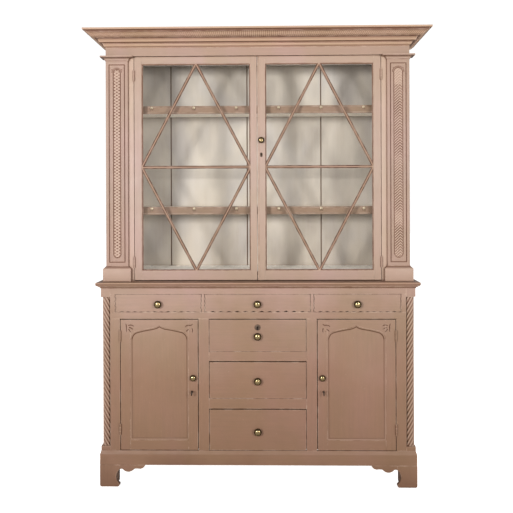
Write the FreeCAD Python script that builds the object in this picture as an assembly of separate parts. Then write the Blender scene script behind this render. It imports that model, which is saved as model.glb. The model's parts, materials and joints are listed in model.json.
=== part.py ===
import FreeCAD, Part
import math
import os

# Two-part kitchen dresser. Lengths are millimetres. X runs to the right seen from the front,
# the front faces -Y and Z is up, with the floor at zero and the footprint centred on the origin.

# Boards
CASE_BOARD = 20.0
FRAME_BOARD = 22.0
BACK_BOARD = 8.0
DOOR_BOARD = 21.0

# Base case, seen from the front
BASE_WIDTH = 1528.0
BASE_HALF = BASE_WIDTH / 2
BASE_DEPTH = 470.0
KEY_REACH = 44.0
BASE_FRONT = (KEY_REACH - BASE_DEPTH) / 2
BACK = BASE_FRONT + BASE_DEPTH
BASE_FRAME_BACK = BASE_FRONT + FRAME_BOARD
BACK_INNER = BACK - BACK_BOARD
CASE_INNER = BASE_HALF - CASE_BOARD

# Levels of the base
APRON_BOTTOM = 106.0
PLINTH_HEIGHT = 70.0
PLINTH_TOP = APRON_BOTTOM + PLINTH_HEIGHT
BOTTOM_BOARD_TOP = PLINTH_TOP + CASE_BOARD
CUPBOARD_HEIGHT = 640.0
MID_RAIL_BOTTOM = PLINTH_TOP + CUPBOARD_HEIGHT
MID_RAIL_HEIGHT = 31.5
MID_RAIL_TOP = MID_RAIL_BOTTOM + MID_RAIL_HEIGHT
FRIEZE_DRAWER_HEIGHT = 88.0
TOP_RAIL_BOTTOM = MID_RAIL_TOP + FRIEZE_DRAWER_HEIGHT
TOP_RAIL_HEIGHT = 40.5
BASE_CASE_TOP = TOP_RAIL_BOTTOM + TOP_RAIL_HEIGHT
TOP_BOARD_THICK = 18.0
WAIST_TOP = BASE_CASE_TOP + TOP_BOARD_THICK
DUST_BOARD_THICK = 16.0
DUST_BOARD_RISE = 1.5
DUST_BOARD_TOP = MID_RAIL_TOP + DUST_BOARD_RISE

# Corner recess with its rope column
CORNER_RECESS = 45.0
COLUMN_RADIUS = 19.0
COLUMN_ROOT_RADIUS = 15.2
COLUMN_STRANDS = 7
COLUMN_LEAD = 196.0
COLUMN_SECTIONS_PER_TURN = 8
COLUMN_INSET = 6.0
COLUMN_PAD_HEIGHT = 21.0
COLUMN_BOTTOM = PLINTH_TOP + COLUMN_PAD_HEIGHT
CORNER_BLOCK_HEIGHT = 54.0
COLUMN_TOP = BASE_CASE_TOP - CORNER_BLOCK_HEIGHT
POST_THICK = 22.0

# Face frame openings, as distances from the middle plane, and drawer levels as shares of the height
STILE_WIDTH = 48.5
STILE_TOP_WIDTH = 23.5
MUNTIN_WIDTH = 51.0
MUNTIN_TOP_WIDTH = 13.0
MUNTIN_TOP_OFFSET = 22.0
PARTITION_OFFSET = 35.5
CENTRE_DRAWER_SHARE = 0.30956
CUPBOARD_OUTER = BASE_HALF - CORNER_RECESS - STILE_WIDTH
CENTRE_DRAWER_HALF = BASE_HALF * CENTRE_DRAWER_SHARE
CUPBOARD_INNER = CENTRE_DRAWER_HALF + MUNTIN_WIDTH
FRIEZE_OUTER = BASE_HALF - CORNER_RECESS - STILE_TOP_WIDTH
FRIEZE_CENTRE_HALF = CENTRE_DRAWER_HALF + MUNTIN_TOP_OFFSET
FRIEZE_INNER = FRIEZE_CENTRE_HALF + MUNTIN_TOP_WIDTH
PARTITION_OUTER = CENTRE_DRAWER_HALF + PARTITION_OFFSET
CENTRE_DRAWER_SHARES = [(0.0016, 0.318), (0.3945, 0.6789), (0.7508, 1.0)]
CENTRE_DRAWER_LEVELS = [(PLINTH_TOP + CUPBOARD_HEIGHT * low, PLINTH_TOP + CUPBOARD_HEIGHT * high)
                        for low, high in CENTRE_DRAWER_SHARES]
RUNNER_WIDTH = 26.0
RUNNER_THICK = 18.0
RUNNER_RISE = 2.5
RUNNER_END_GAP = 32.0
GUIDE_HEIGHT = 30.0
GUIDE_THICK = 3.5
GUIDE_INNER = FRIEZE_OUTER - GUIDE_THICK
CUPBOARD_SHELF_SHARE = 0.50625
CUPBOARD_SHELF_TOP = PLINTH_TOP + CUPBOARD_HEIGHT * CUPBOARD_SHELF_SHARE
CUPBOARD_SHELF_FRONT_GAP = 60.0
SHELF_BOARD = 18.0
BATTEN = 20.0

# Plinth and feet
PLINTH_PROUD = 6.0
PLINTH_BOARD = 26.0
PLINTH_CHAMFER_HEIGHT = 18.0
PLINTH_HALF = BASE_HALF + PLINTH_PROUD
PLINTH_FRONT = BASE_FRONT - PLINTH_PROUD
FOOT_BLOCK = 56.0
FOOT_BLOCK_LIFT = 8.0
# Bracket outline from the outer corner of the foot, as a leg and the wing glued beside it. Two
# values are a straight line to that point, four are an arc through the first point to the second.
FOOT_WIDTH = 96.0
FOOT_LEG = [
    (0.0, 10.0), (2.9, 2.9, 10.0, 0.0), (86.0, 0.0), (94.0, 4.0, FOOT_WIDTH, 14.0),
    (79.0, 50.0, FOOT_WIDTH, 84.0), (FOOT_WIDTH, APRON_BOTTOM),
]
FOOT_WING = [
    (FOOT_WIDTH, 84.0), (103.5, 87.0, 112.0, 85.5), (140.0, 72.5, 168.0, 86.5),
    (181.0, 88.5, 192.0, 87.5), (211.0, 92.0, 222.0, APRON_BOTTOM),
]

# Waist mouldings, as projection and height above the start of each
WAIST_NOSE_REACH = 22.0
WAIST_NOSE = [(15.0, 0.0), (20.5, 4.0, 22.0, 11.0), (21.5, 16.0, 17.5, 18.0), (0.0, 18.0)]
WAIST_UNDER_HEIGHT = 11.0
WAIST_UNDER_REACH = 12.0
WAIST_UNDER = [(3.0, 0.0), (5.0, 4.8, 10.0, 6.5), (12.0, 6.5), (12.0, 11.0), (0.0, 11.0)]

# Upper case
UPPER_INSET = 14.0
UPPER_HALF = BASE_HALF - UPPER_INSET
UPPER_SETBACK = 75.0
UPPER_FRONT = BASE_FRONT + UPPER_SETBACK
UPPER_FRAME_BACK = UPPER_FRONT + FRAME_BOARD
UPPER_INNER = UPPER_HALF - CASE_BOARD
UPPER_FLOOR_RISE = 44.0
UPPER_FLOOR_TOP = WAIST_TOP + UPPER_FLOOR_RISE
UPPER_CASE_HEIGHT = 1153.0
UPPER_CASE_TOP = WAIST_TOP + UPPER_CASE_HEIGHT
FRIEZE_HEIGHT = 40.0
FRIEZE_BOTTOM = UPPER_CASE_TOP - FRIEZE_HEIGHT
UPPER_STILE_WIDTH = 137.0
STILE_EDGE = UPPER_HALF - UPPER_STILE_WIDTH
UPPER_BACK_JOINT_SHARES = [-0.6562, -0.0863, 0.4644]
BASE_BACK_BOARD_COUNT = 6

# Pilasters with their caps and plinth blocks
PILASTER_WIDTH = 110.0
PILASTER_PROUD = 14.0
PILASTER_INNER = UPPER_HALF - PILASTER_WIDTH
BLOCK_HEIGHT = 73.0
PILASTER_BOTTOM = WAIST_TOP + BLOCK_HEIGHT
CAP_HEIGHT = 22.0
PILASTER_TOP = FRIEZE_BOTTOM - CAP_HEIGHT
GROOVE_MARGIN = 15.0
GROOVE_WIDTH = 4.0
GROOVE_DEPTH = 2.5
GROOVE_END_MARGIN = 18.0
FIELD_WIDTH = 40.0
FIELD_DEPTH = 5.0
FIELD_END_MARGIN = 42.0
CHEVRON_PITCH = 13.5
CHEVRON_RISE = 9.0
CHEVRON_CUT_WIDTH = 4.0
CHEVRON_DEPTH = 2.0
SIDE_RETURN = 46.0
BLOCK_REACH = 14.0
BLOCK = [(BLOCK_REACH, 0.0), (BLOCK_REACH, 61.0), (3.0, 71.0), (3.0, BLOCK_HEIGHT), (0.0, BLOCK_HEIGHT)]
CAP_REACH = 24.0
CAP = [(4.0, 0.0), (4.0, 4.0), (9.0, 12.5, 20.0, 14.0), (CAP_REACH, 14.0), (CAP_REACH, CAP_HEIGHT),
       (0.0, CAP_HEIGHT)]

# Cornice
CORNICE_REACH = 95.0
CORNICE_SEAT = 22.0
CORNICE = [(0.0, 6.0), (3.0, 6.0), (8.5, 11.5, 11.0, 19.0), (13.0, 19.0), (13.0, 23.0), (26.0, 25.0),
           (28.0, 28.0), (33.0, 41.0), (35.0, 41.0), (35.0, 43.0), (46.0, 43.0), (46.0, 46.0),
           (57.0, 49.0, 64.5, 56.0), (71.5, 63.0, 81.0, 66.0), (84.0, 66.0), (84.0, 71.5), (87.0, 71.5),
           (91.0, 72.5, CORNICE_REACH, 76.0), (CORNICE_REACH, 83.0)]

# Display shelves and cup hooks
SHELF_SETBACK = 130.0
SHELF_FRONT = BASE_FRONT + SHELF_SETBACK
SHELF_SHARES = [0.29125, 0.74842]
SHELF_TOPS = [UPPER_FLOOR_TOP + (UPPER_CASE_TOP - UPPER_FLOOR_TOP) * share for share in SHELF_SHARES]
SHELF_LIP_THICK = 20.0
SHELF_LIP_HEIGHT = 40.0
BEARER_HEIGHT = 26.0
BEARER_WIDTH = 18.0
HOOK_SPACING = 213.0
HOOKS_PER_SHELF = 6
HOOK_DROP_FROM_TOP = 10.0
HOOK_WIRE_RADIUS = 1.5
HOOK_FLANGE_RADIUS = 5.0
HOOK_FLANGE_THICK = 1.6
HOOK_SHANK = 5.0
HOOK_BEND = 3.0
HOOK_STEM = 4.0
HOOK_LOOP_RADIUS = 6.0
HOOK_TIP = 4.0

# Glazed doors
GLAZED_BOTTOM_GAP = 3.0
GLAZED_TOP_GAP = 2.5
GLAZED_BOTTOM = WAIST_TOP + GLAZED_BOTTOM_GAP
GLAZED_TOP = FRIEZE_BOTTOM - GLAZED_TOP_GAP
HINGE_GAP = 2.0
MEETING_HALF_GAP = 1.0
OUTER_STILE = 36.0
MEETING_STILE_LEFT = 32.0
MEETING_STILE_RIGHT = 38.0
GLAZED_TOP_RAIL = 33.0
GLAZED_BOTTOM_RAIL = 46.0
REBATE_WIDTH = 8.0
REBATE_START = 12.0
BAR_WIDTH = 15.0
BAR_FRONT_GAP = 4.0
BAR_NOSE_SHOULDER = 4.0
FIN_WIDTH = 4.0
PANE_THICK = 3.0
PANE_CLEARANCE = 1.0
PANE_SPLIT_CLEARANCE = 0.5

# Cupboard doors
CUPBOARD_BOTTOM_GAP = 3.0
DOOR_FREE_GAP = 1.5
CUPBOARD_DOOR_BOTTOM = PLINTH_TOP + CUPBOARD_BOTTOM_GAP
CUPBOARD_DOOR_TOP = MID_RAIL_BOTTOM - DOOR_FREE_GAP
CUPBOARD_STILE = 48.0
CUPBOARD_BOTTOM_RAIL = 48.0
PANEL_RECESS = 8.0
PANEL_THICK = 8.0
PANEL_REBATE = 9.0
PANEL_CLEARANCE = 0.5
ARCH_RISE = 73.0
ARCH_RAIL = 28.5
PANEL_ARCH_PEAK = CUPBOARD_DOOR_TOP - ARCH_RAIL
PANEL_ARCH_SPRING = PANEL_ARCH_PEAK - ARCH_RISE
# Left half of the arch from the spring point, in shares of half its span and of its rise.
ARCH_HALF_SHARES = [(0.0536, 0.334, 0.1905, 0.562), (0.4656, 0.692, 0.7337, 0.788), (0.8889, 0.87)]

# Locks, keys and keyholes
LOCK_HEIGHT = 60.0
LOCK_DEPTH = 12.0
LOCK_WALL = 1.5
LOCK_WIDTH = 44.0
GLAZED_LOCK_WIDTH = 34.0
BOLT_HEIGHT = 12.0
BOLT_THICK = 5.0
BOLT_LENGTH = 26.0
BOLT_ABOVE_KEY = 14.0
BOLT_SLOT_CLEARANCE = 0.5
BOLT_Y_OFFSET = 3.5
LOCK_EDGE_GAP = 0.5
KEY_LEVEL_SHARE = 0.44532
KEY_LEVEL = CUPBOARD_DOOR_BOTTOM + (CUPBOARD_DOOR_TOP - CUPBOARD_DOOR_BOTTOM) * KEY_LEVEL_SHARE
KEY_FROM_EDGE = 30.0
KEY_SHANK_RADIUS = 3.0
KEY_HOLE_RADIUS = 3.7
KEY_BIT_REACH = 10.0
KEY_BIT_THICK = 2.4
KEY_BIT_LENGTH = 6.0
KEY_SLOT_WIDTH = 4.2
KEY_SLOT_REACH = 11.5
KEY_BOW_RADIUS = 10.5
KEY_BOW_WIRE = 2.6
KEY_COLLAR_RADIUS = 4.8
KEY_COLLAR_THICK = 3.0
KEY_COLLAR_GAP = 0.6
KEY_END_GAP = 2.5
GLAZED_KEYHOLE_SHARE = 0.56433
GLAZED_KEYHOLE_LEVEL = GLAZED_BOTTOM + (GLAZED_TOP - GLAZED_BOTTOM) * GLAZED_KEYHOLE_SHARE
PLATE_THICK = 1.2
PLATE_HALF_WIDTH = 6.0
PLATE_STRAIGHT = 10.0
ESCUTCHEON_RADIUS = 14.5
ESCUTCHEON_THICK = 2.0
DRAWER_KEYHOLE_DROP = 42.0
DRAWER_KEYHOLE_LEVEL = MID_RAIL_BOTTOM - DRAWER_KEYHOLE_DROP
DRAWER_LOCK_HALF = 24.0

# Knobs, as radius and height above the face they sit on
DRAWER_KNOB_RADIUS = 18.5
DOOR_KNOB_RADIUS = 15.5
KNOB_OUTLINE_SHARES = [(0.58, 0.0), (0.58, 0.10), (0.50, 0.20, 0.34, 0.28), (0.30, 0.55, 0.52, 0.78),
                       (0.90, 0.86, 1.0, 1.06), (0.94, 1.32, 0.66, 1.48), (0.62, 1.44, 0.56, 1.45)]
KNOB_CROWN_SHARE = 1.66
KNOB_SHANK_RADIUS = 2.5
KNOB_SHANK_LENGTH = 14.0
KNOB_HOLE_CLEARANCE = 0.1
CUPBOARD_KNOB_RISE = 69.0
CUPBOARD_KNOB_LEVEL = KEY_LEVEL + CUPBOARD_KNOB_RISE
GLAZED_KNOB_RISE = 67.0
GLAZED_KNOB_LEVEL = GLAZED_KEYHOLE_LEVEL + GLAZED_KNOB_RISE
CENTRE_KNOB_SHARES = [0.4592, 0.4753, 0.4734]
FRIEZE_KNOB_RISE = 40.5
FRIEZE_KNOB_LEVEL = MID_RAIL_TOP + FRIEZE_KNOB_RISE

# Drawers
DRAWER_FRONT_THICK = 20.0
DRAWER_GAP = 1.5
DRAWER_BOX_SIDE_GAP = 4.0
DRAWER_BOX_TOP_GAP = 8.0
DRAWER_SIDE = 12.0
DRAWER_BOTTOM_THICK = 6.0
DRAWER_BOTTOM_LIFT = 6.0
DRAWER_LENGTH = 400.0
RUNNING_GAP = 0.5
SCALLOP_PITCH = 18.0
SCALLOP_DEPTH = 2.0

# Butt hinges
KNUCKLE_RADIUS = 4.6
KNUCKLE_PROUD = 5.0
PIN_RADIUS = 1.8
BORE_RADIUS = 1.85
LEAF_THICK = 0.8
LEAF_OFFSET = 0.2
LEAF_DEPTH = 19.0
KNUCKLE_GAP = 0.4
HINGE_LENGTH = 54.0
GLAZED_HINGE_RISE = 62.0
GLAZED_HINGE_DROP = 119.5
GLAZED_HINGE_LEVELS = [GLAZED_BOTTOM + GLAZED_HINGE_RISE, GLAZED_TOP - GLAZED_HINGE_DROP]
CUPBOARD_HINGE_RISE = 73.0
CUPBOARD_HINGE_DROP = 108.5
CUPBOARD_HINGE_LEVELS = [CUPBOARD_DOOR_BOTTOM + CUPBOARD_HINGE_RISE, CUPBOARD_DOOR_TOP - CUPBOARD_HINGE_DROP]

# How far a cutting tool runs past the faces it cuts, and how close two points count as one
OVERRUN = 5.0
SAME_POINT = 1e-5


def vec(x, y, z):
    return FreeCAD.Vector(x, y, z)


X_AXIS = vec(1, 0, 0)
Y_AXIS = vec(0, 1, 0)
Z_AXIS = vec(0, 0, 1)


def box(x0, x1, y0, y1, z0, z1):
    return Part.makeBox(x1 - x0, y1 - y0, z1 - z0, vec(x0, y0, z0))


def mirrored(shape):
    return shape.mirror(vec(0, 0, 0), X_AXIS)


def with_mirror(shapes):
    return shapes + [mirrored(shape) for shape in shapes]


def fused(shapes):
    result = shapes[0].fuse(shapes[1:])
    return result.removeSplitter()


def outline(start, steps, place):
    """Closed face from a start point and its lines and arcs, set in space by place(a, b)."""
    here = place(start[0], start[1])
    edges = []
    for step in steps + [start]:
        end = place(step[-2], step[-1])
        if len(step) == 4:
            edges.append(Part.Arc(here, place(step[0], step[1]), end).toShape())
        elif here.distanceToPoint(end) > SAME_POINT:
            edges.append(Part.makeLine(here, end))
        here = end
    return Part.Face(Part.Wire(edges))


def polygon_plate(points, y0, y1):
    """Plate between two depths whose front view is a polygon of (x, z) points."""
    steps = [tuple(point) for point in points[1:]]
    face = outline(points[0], steps, lambda x, z: vec(x, y0, z))
    return face.extrude(vec(0, y1 - y0, 0))


def clipped(points, origin, normal):
    """Part of a convex polygon on the side of a line that its normal points away from."""
    kept = []
    for index, point in enumerate(points):
        after = points[(index + 1) % len(points)]
        side = (point[0] - origin[0]) * normal[0] + (point[1] - origin[1]) * normal[1]
        next_side = (after[0] - origin[0]) * normal[0] + (after[1] - origin[1]) * normal[1]
        if side <= 0:
            kept.append(point)
        if side * next_side < 0:
            share = side / (side - next_side)
            kept.append((point[0] + (after[0] - point[0]) * share, point[1] + (after[1] - point[1]) * share))
    return kept


def moulding(steps, seat, level, corner, along, outward, length, mitres, reach):
    """Length of moulding that runs from a corner, its ends square or mitred outwards."""
    start = corner - along * reach

    def place(projection, height):
        return start + outward * projection + Z_AXIS * (level + height)

    solid = outline((-seat, 0.0), [(0.0, 0.0)] + steps + [(-seat, steps[-1][-1])], place)
    solid = solid.extrude(along * (length + 2 * reach))

    def plan(projection, at_end):
        shift = length * at_end + projection * (mitres[at_end] * (2 * at_end - 1))
        return corner + outward * projection + along * shift + Z_AXIS * (solid.BoundBox.ZMin - OVERRUN)

    far = reach + OVERRUN
    near = -seat - OVERRUN
    ring = [plan(near, 0), plan(far, 0), plan(far, 1), plan(near, 1), plan(near, 0)]
    keep = Part.Face(Part.makePolygon(ring)).extrude(Z_AXIS * (solid.BoundBox.ZLength + 2 * OVERRUN))
    return solid.common(keep).Solids[0]


def round_three_sides(steps, seat, level, half, front, back, reach):
    """Front run and two side returns of a moulding round a case."""
    corner = vec(-half, front, 0)
    run = moulding(steps, seat, level, corner, X_AXIS, Y_AXIS * -1, 2 * half, (1, 1), reach)
    side = moulding(steps, seat, level, corner, Y_AXIS, X_AXIS * -1, back - front, (1, 0), reach)
    return [run] + with_mirror([side])


# Base case

def corner_post_boxes():
    stile_edge = BASE_HALF - CORNER_RECESS
    front = box(-stile_edge, -stile_edge + POST_THICK, BASE_FRAME_BACK,
                BASE_FRONT + CORNER_RECESS + POST_THICK, PLINTH_TOP, BASE_CASE_TOP)
    side = box(-CASE_INNER, -stile_edge, BASE_FRONT + CORNER_RECESS,
               BASE_FRONT + CORNER_RECESS + POST_THICK, PLINTH_TOP, BASE_CASE_TOP)
    return with_mirror([front, side])


def notched_board(z0, z1):
    board = box(-CASE_INNER, CASE_INNER, BASE_FRAME_BACK, BACK_INNER, z0, z1)
    notch = box(-CASE_INNER, -BASE_HALF + CORNER_RECESS + POST_THICK, BASE_FRAME_BACK,
                BASE_FRONT + CORNER_RECESS + POST_THICK, z0, z1)
    return board.cut(with_mirror([notch]))


def base_carcase():
    side = box(-BASE_HALF, -CASE_INNER, BASE_FRONT + CORNER_RECESS, BACK, PLINTH_TOP, BASE_CASE_TOP)
    partition = box(-PARTITION_OUTER, -PARTITION_OUTER + CASE_BOARD, BASE_FRAME_BACK, BACK_INNER,
                    BOTTOM_BOARD_TOP, DUST_BOARD_TOP - DUST_BOARD_THICK)
    shelf_front = BASE_FRAME_BACK + CUPBOARD_SHELF_FRONT_GAP
    shelf = box(-CASE_INNER, -PARTITION_OUTER, shelf_front, BACK_INNER,
                CUPBOARD_SHELF_TOP - SHELF_BOARD, CUPBOARD_SHELF_TOP)
    batten_top = CUPBOARD_SHELF_TOP - SHELF_BOARD
    outer = box(-CASE_INNER, -CASE_INNER + BATTEN, shelf_front, BACK_INNER, batten_top - BATTEN, batten_top)
    inner = box(-PARTITION_OUTER - BATTEN, -PARTITION_OUTER, shelf_front, BACK_INNER,
                batten_top - BATTEN, batten_top)
    boards = [notched_board(PLINTH_TOP, BOTTOM_BOARD_TOP)]
    boards.append(notched_board(DUST_BOARD_TOP - DUST_BOARD_THICK, DUST_BOARD_TOP))
    return boards + with_mirror([side, partition, shelf, outer, inner])


def base_back_boards():
    width = 2 * CASE_INNER / BASE_BACK_BOARD_COUNT
    boards = []
    for index in range(BASE_BACK_BOARD_COUNT):
        left = -CASE_INNER + index * width
        boards.append(box(left, left + width, BACK_INNER, BACK, PLINTH_TOP, BASE_CASE_TOP))
    return boards


def base_top():
    core = box(-BASE_HALF, BASE_HALF, BASE_FRONT, BACK, BASE_CASE_TOP, WAIST_TOP)
    nosing = round_three_sides(WAIST_NOSE, WAIST_NOSE_REACH, BASE_CASE_TOP, BASE_HALF, BASE_FRONT, BACK,
                               WAIST_NOSE_REACH)
    under = round_three_sides(WAIST_UNDER, 0, BASE_CASE_TOP - WAIST_UNDER_HEIGHT, BASE_HALF, BASE_FRONT,
                              BACK, WAIST_UNDER_REACH)
    return [fused([core] + nosing)] + under


def face_board(x0, x1, z0, z1):
    return box(x0, x1, BASE_FRONT, BASE_FRAME_BACK, z0, z1)


def base_face_frame():
    stile_edge = BASE_HALF - CORNER_RECESS
    rails = [face_board(-stile_edge, stile_edge, MID_RAIL_BOTTOM, MID_RAIL_TOP)]
    rails.append(face_board(-stile_edge, stile_edge, TOP_RAIL_BOTTOM, BASE_CASE_TOP))
    for lower, upper in zip(CENTRE_DRAWER_LEVELS, CENTRE_DRAWER_LEVELS[1:]):
        rails.append(face_board(-CENTRE_DRAWER_HALF, CENTRE_DRAWER_HALF, lower[1], upper[0]))
    stile = face_board(-stile_edge, -CUPBOARD_OUTER, PLINTH_TOP, MID_RAIL_BOTTOM)
    stile_top = face_board(-stile_edge, -FRIEZE_OUTER, MID_RAIL_TOP, TOP_RAIL_BOTTOM)
    muntin = face_board(-CUPBOARD_INNER, -CENTRE_DRAWER_HALF, PLINTH_TOP, MID_RAIL_BOTTOM)
    muntin_top = face_board(-FRIEZE_INNER, -FRIEZE_CENTRE_HALF, MID_RAIL_TOP, TOP_RAIL_BOTTOM)
    block = box(-BASE_HALF, -stile_edge, BASE_FRONT, BASE_FRONT + CORNER_RECESS, COLUMN_TOP, BASE_CASE_TOP)
    pad = box(-BASE_HALF, -stile_edge, BASE_FRONT, BASE_FRONT + CORNER_RECESS, PLINTH_TOP, COLUMN_BOTTOM)
    return rails + corner_post_boxes() + with_mirror([stile, stile_top, muntin, muntin_top, block, pad])


def drawer_runners():
    runners = []
    inner = PARTITION_OUTER - CASE_BOARD
    back = BACK_INNER - RUNNER_END_GAP
    for bottom, _ in CENTRE_DRAWER_LEVELS[1:]:
        top = bottom + RUNNER_RISE
        runners.append(box(-inner, -inner + RUNNER_WIDTH, BASE_FRAME_BACK, back, top - RUNNER_THICK, top))
    runners.append(box(-FRIEZE_INNER, -FRIEZE_CENTRE_HALF, BASE_FRAME_BACK, back, DUST_BOARD_TOP,
                       DUST_BOARD_TOP + GUIDE_HEIGHT))
    runners.append(box(-CASE_INNER, -GUIDE_INNER, BASE_FRONT + CORNER_RECESS + POST_THICK, back,
                       DUST_BOARD_TOP, DUST_BOARD_TOP + GUIDE_HEIGHT))
    return with_mirror(runners)


def rope_section(height):
    """Closed ring of lobes, turned by the height's share of the lead."""
    step = 2 * math.pi / COLUMN_STRANDS
    turned = 2 * math.pi * height / COLUMN_LEAD

    def at(radius, lobe):
        angle = turned + lobe * step
        return vec(radius * math.cos(angle), radius * math.sin(angle), height)

    edges = []
    for lobe in range(COLUMN_STRANDS):
        edges.append(Part.Arc(at(COLUMN_ROOT_RADIUS, lobe), at(COLUMN_RADIUS, lobe + 0.5),
                              at(COLUMN_ROOT_RADIUS, lobe + 1)).toShape())
    return Part.Wire(edges)


def rope_column():
    """Right-hand column, lofted through its turned sections."""
    height = COLUMN_TOP - COLUMN_BOTTOM
    count = math.ceil(height / COLUMN_LEAD * COLUMN_SECTIONS_PER_TURN)
    column = Part.makeLoft([rope_section(height * index / count) for index in range(count + 1)], True, False)
    column.translate(vec(BASE_HALF - COLUMN_INSET - COLUMN_RADIUS,
                         BASE_FRONT + COLUMN_INSET + COLUMN_RADIUS, COLUMN_BOTTOM))
    return column


def rope_columns():
    return with_mirror([rope_column()])


# Plinth

def plinth_rails():
    rail = [(0.0, PLINTH_TOP - APRON_BOTTOM - PLINTH_CHAMFER_HEIGHT),
            (-PLINTH_PROUD, PLINTH_TOP - APRON_BOTTOM)]
    runs = round_three_sides(rail, PLINTH_BOARD, APRON_BOTTOM, PLINTH_HALF, PLINTH_FRONT, BACK,
                             PLINTH_BOARD)
    inner = PLINTH_HALF - PLINTH_BOARD
    runs.append(box(-inner, inner, BACK - PLINTH_BOARD, BACK, APRON_BOTTOM, PLINTH_TOP))
    return runs


def bracket(place, thickness):
    """Leg and wing of one bracket."""
    leg = outline((0.0, APRON_BOTTOM), FOOT_LEG, place)
    wing = outline((FOOT_WIDTH, APRON_BOTTOM), FOOT_WING, place)
    return [leg.extrude(thickness), wing.extrude(thickness)]


def bracket_feet():
    front = bracket(lambda run, z: vec(-PLINTH_HALF + run, PLINTH_FRONT, z), Y_AXIS * PLINTH_BOARD)
    side = bracket(lambda run, z: vec(-PLINTH_HALF, PLINTH_FRONT + run, z), X_AXIS * PLINTH_BOARD)
    joint = box(-PLINTH_HALF - OVERRUN, -PLINTH_HALF + PLINTH_BOARD + OVERRUN, PLINTH_FRONT - OVERRUN,
                PLINTH_FRONT + PLINTH_BOARD, -OVERRUN, APRON_BOTTOM + OVERRUN)
    side[0] = side[0].cut(joint)
    rear = bracket(lambda run, z: vec(-PLINTH_HALF, BACK - run, z), X_AXIS * PLINTH_BOARD)
    block_x = -PLINTH_HALF + PLINTH_BOARD
    front_y = PLINTH_FRONT + PLINTH_BOARD
    front_block = box(block_x, block_x + FOOT_BLOCK, front_y, front_y + FOOT_BLOCK, FOOT_BLOCK_LIFT,
                      APRON_BOTTOM)
    rear_block = box(block_x, block_x + FOOT_BLOCK, BACK - FOOT_BLOCK, BACK, 0, APRON_BOTTOM)
    return with_mirror(front + side + rear + [front_block, rear_block])


# Upper case

def upper_carcase():
    side = box(-UPPER_HALF, -UPPER_INNER, UPPER_FRAME_BACK, BACK, WAIST_TOP, UPPER_CASE_TOP)
    boards = [side]
    for shelf_top in SHELF_TOPS:
        top = shelf_top - CASE_BOARD
        boards.append(box(-UPPER_INNER, -UPPER_INNER + BEARER_WIDTH, SHELF_FRONT + SHELF_LIP_THICK,
                          BACK_INNER, top - BEARER_HEIGHT, top))
    level = [box(-UPPER_INNER, UPPER_INNER, UPPER_FRAME_BACK, BACK_INNER, top - CASE_BOARD, top)
             for top in (UPPER_FLOOR_TOP, UPPER_CASE_TOP)]
    return level + with_mirror(boards)


def upper_back_boards():
    joints = [UPPER_INNER * share for share in UPPER_BACK_JOINT_SHARES]
    edges = [-UPPER_INNER] + joints + [UPPER_INNER]
    return [box(left, right, BACK_INNER, BACK, WAIST_TOP, UPPER_CASE_TOP)
            for left, right in zip(edges, edges[1:])]


def upper_face_frame():
    stile = box(-UPPER_HALF, -STILE_EDGE, UPPER_FRONT, UPPER_FRAME_BACK, WAIST_TOP, FRIEZE_BOTTOM)
    frieze = box(-UPPER_HALF, UPPER_HALF, UPPER_FRONT - PILASTER_PROUD, UPPER_FRAME_BACK, FRIEZE_BOTTOM,
                 UPPER_CASE_TOP)
    return [frieze] + with_mirror([stile])


def groove_ring(face_y, x0, x1, z0, z1):
    """Cutter for a square groove that follows the edge of a rectangle."""
    outer = box(x0, x1, face_y - OVERRUN, face_y + GROOVE_DEPTH, z0, z1)
    inner = box(x0 + GROOVE_WIDTH, x1 - GROOVE_WIDTH, face_y - 2 * OVERRUN, face_y + 2 * OVERRUN,
                z0 + GROOVE_WIDTH, z1 - GROOVE_WIDTH)
    return outer.cut(inner)


def round_ended_field(centre, width, z0, z1, y0, y1):
    radius = width / 2
    steps = [(centre, z0, centre + radius, z0 + radius), (centre + radius, z1 - radius),
             (centre, z1, centre - radius, z1 - radius)]
    face = outline((centre - radius, z0 + radius), steps, lambda x, z: vec(x, y0, z))
    return face.extrude(vec(0, y1 - y0, 0))


def pilaster():
    """Left pilaster: a groove round its edge and a sunk, round-ended field of chevrons."""
    face = UPPER_FRONT - PILASTER_PROUD
    board = box(-UPPER_HALF, -PILASTER_INNER, face, UPPER_FRONT, PILASTER_BOTTOM, PILASTER_TOP)
    cutters = [groove_ring(face, -UPPER_HALF + GROOVE_MARGIN, -PILASTER_INNER - GROOVE_MARGIN,
                           PILASTER_BOTTOM + GROOVE_END_MARGIN, PILASTER_TOP - GROOVE_END_MARGIN)]
    centre = -(UPPER_HALF + PILASTER_INNER) / 2
    low = PILASTER_BOTTOM + FIELD_END_MARGIN
    high = PILASTER_TOP - FIELD_END_MARGIN
    cutters.append(round_ended_field(centre, FIELD_WIDTH, low, high, face - OVERRUN, face + FIELD_DEPTH))
    board = board.cut(cutters)
    field = face + FIELD_DEPTH
    half = FIELD_WIDTH / 2 - CHEVRON_CUT_WIDTH
    cuts = []
    level = low + FIELD_WIDTH / 2
    while level + CHEVRON_RISE + CHEVRON_CUT_WIDTH < high - FIELD_WIDTH / 2:
        points = [(centre - half, level), (centre, level + CHEVRON_RISE), (centre + half, level),
                  (centre + half, level + CHEVRON_CUT_WIDTH),
                  (centre, level + CHEVRON_RISE + CHEVRON_CUT_WIDTH),
                  (centre - half, level + CHEVRON_CUT_WIDTH)]
        cuts.append(polygon_plate(points, field - FIELD_DEPTH / 2, field + CHEVRON_DEPTH))
        level += CHEVRON_PITCH
    return board.cut(cuts)


def pilasters():
    return with_mirror([pilaster()])


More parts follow.
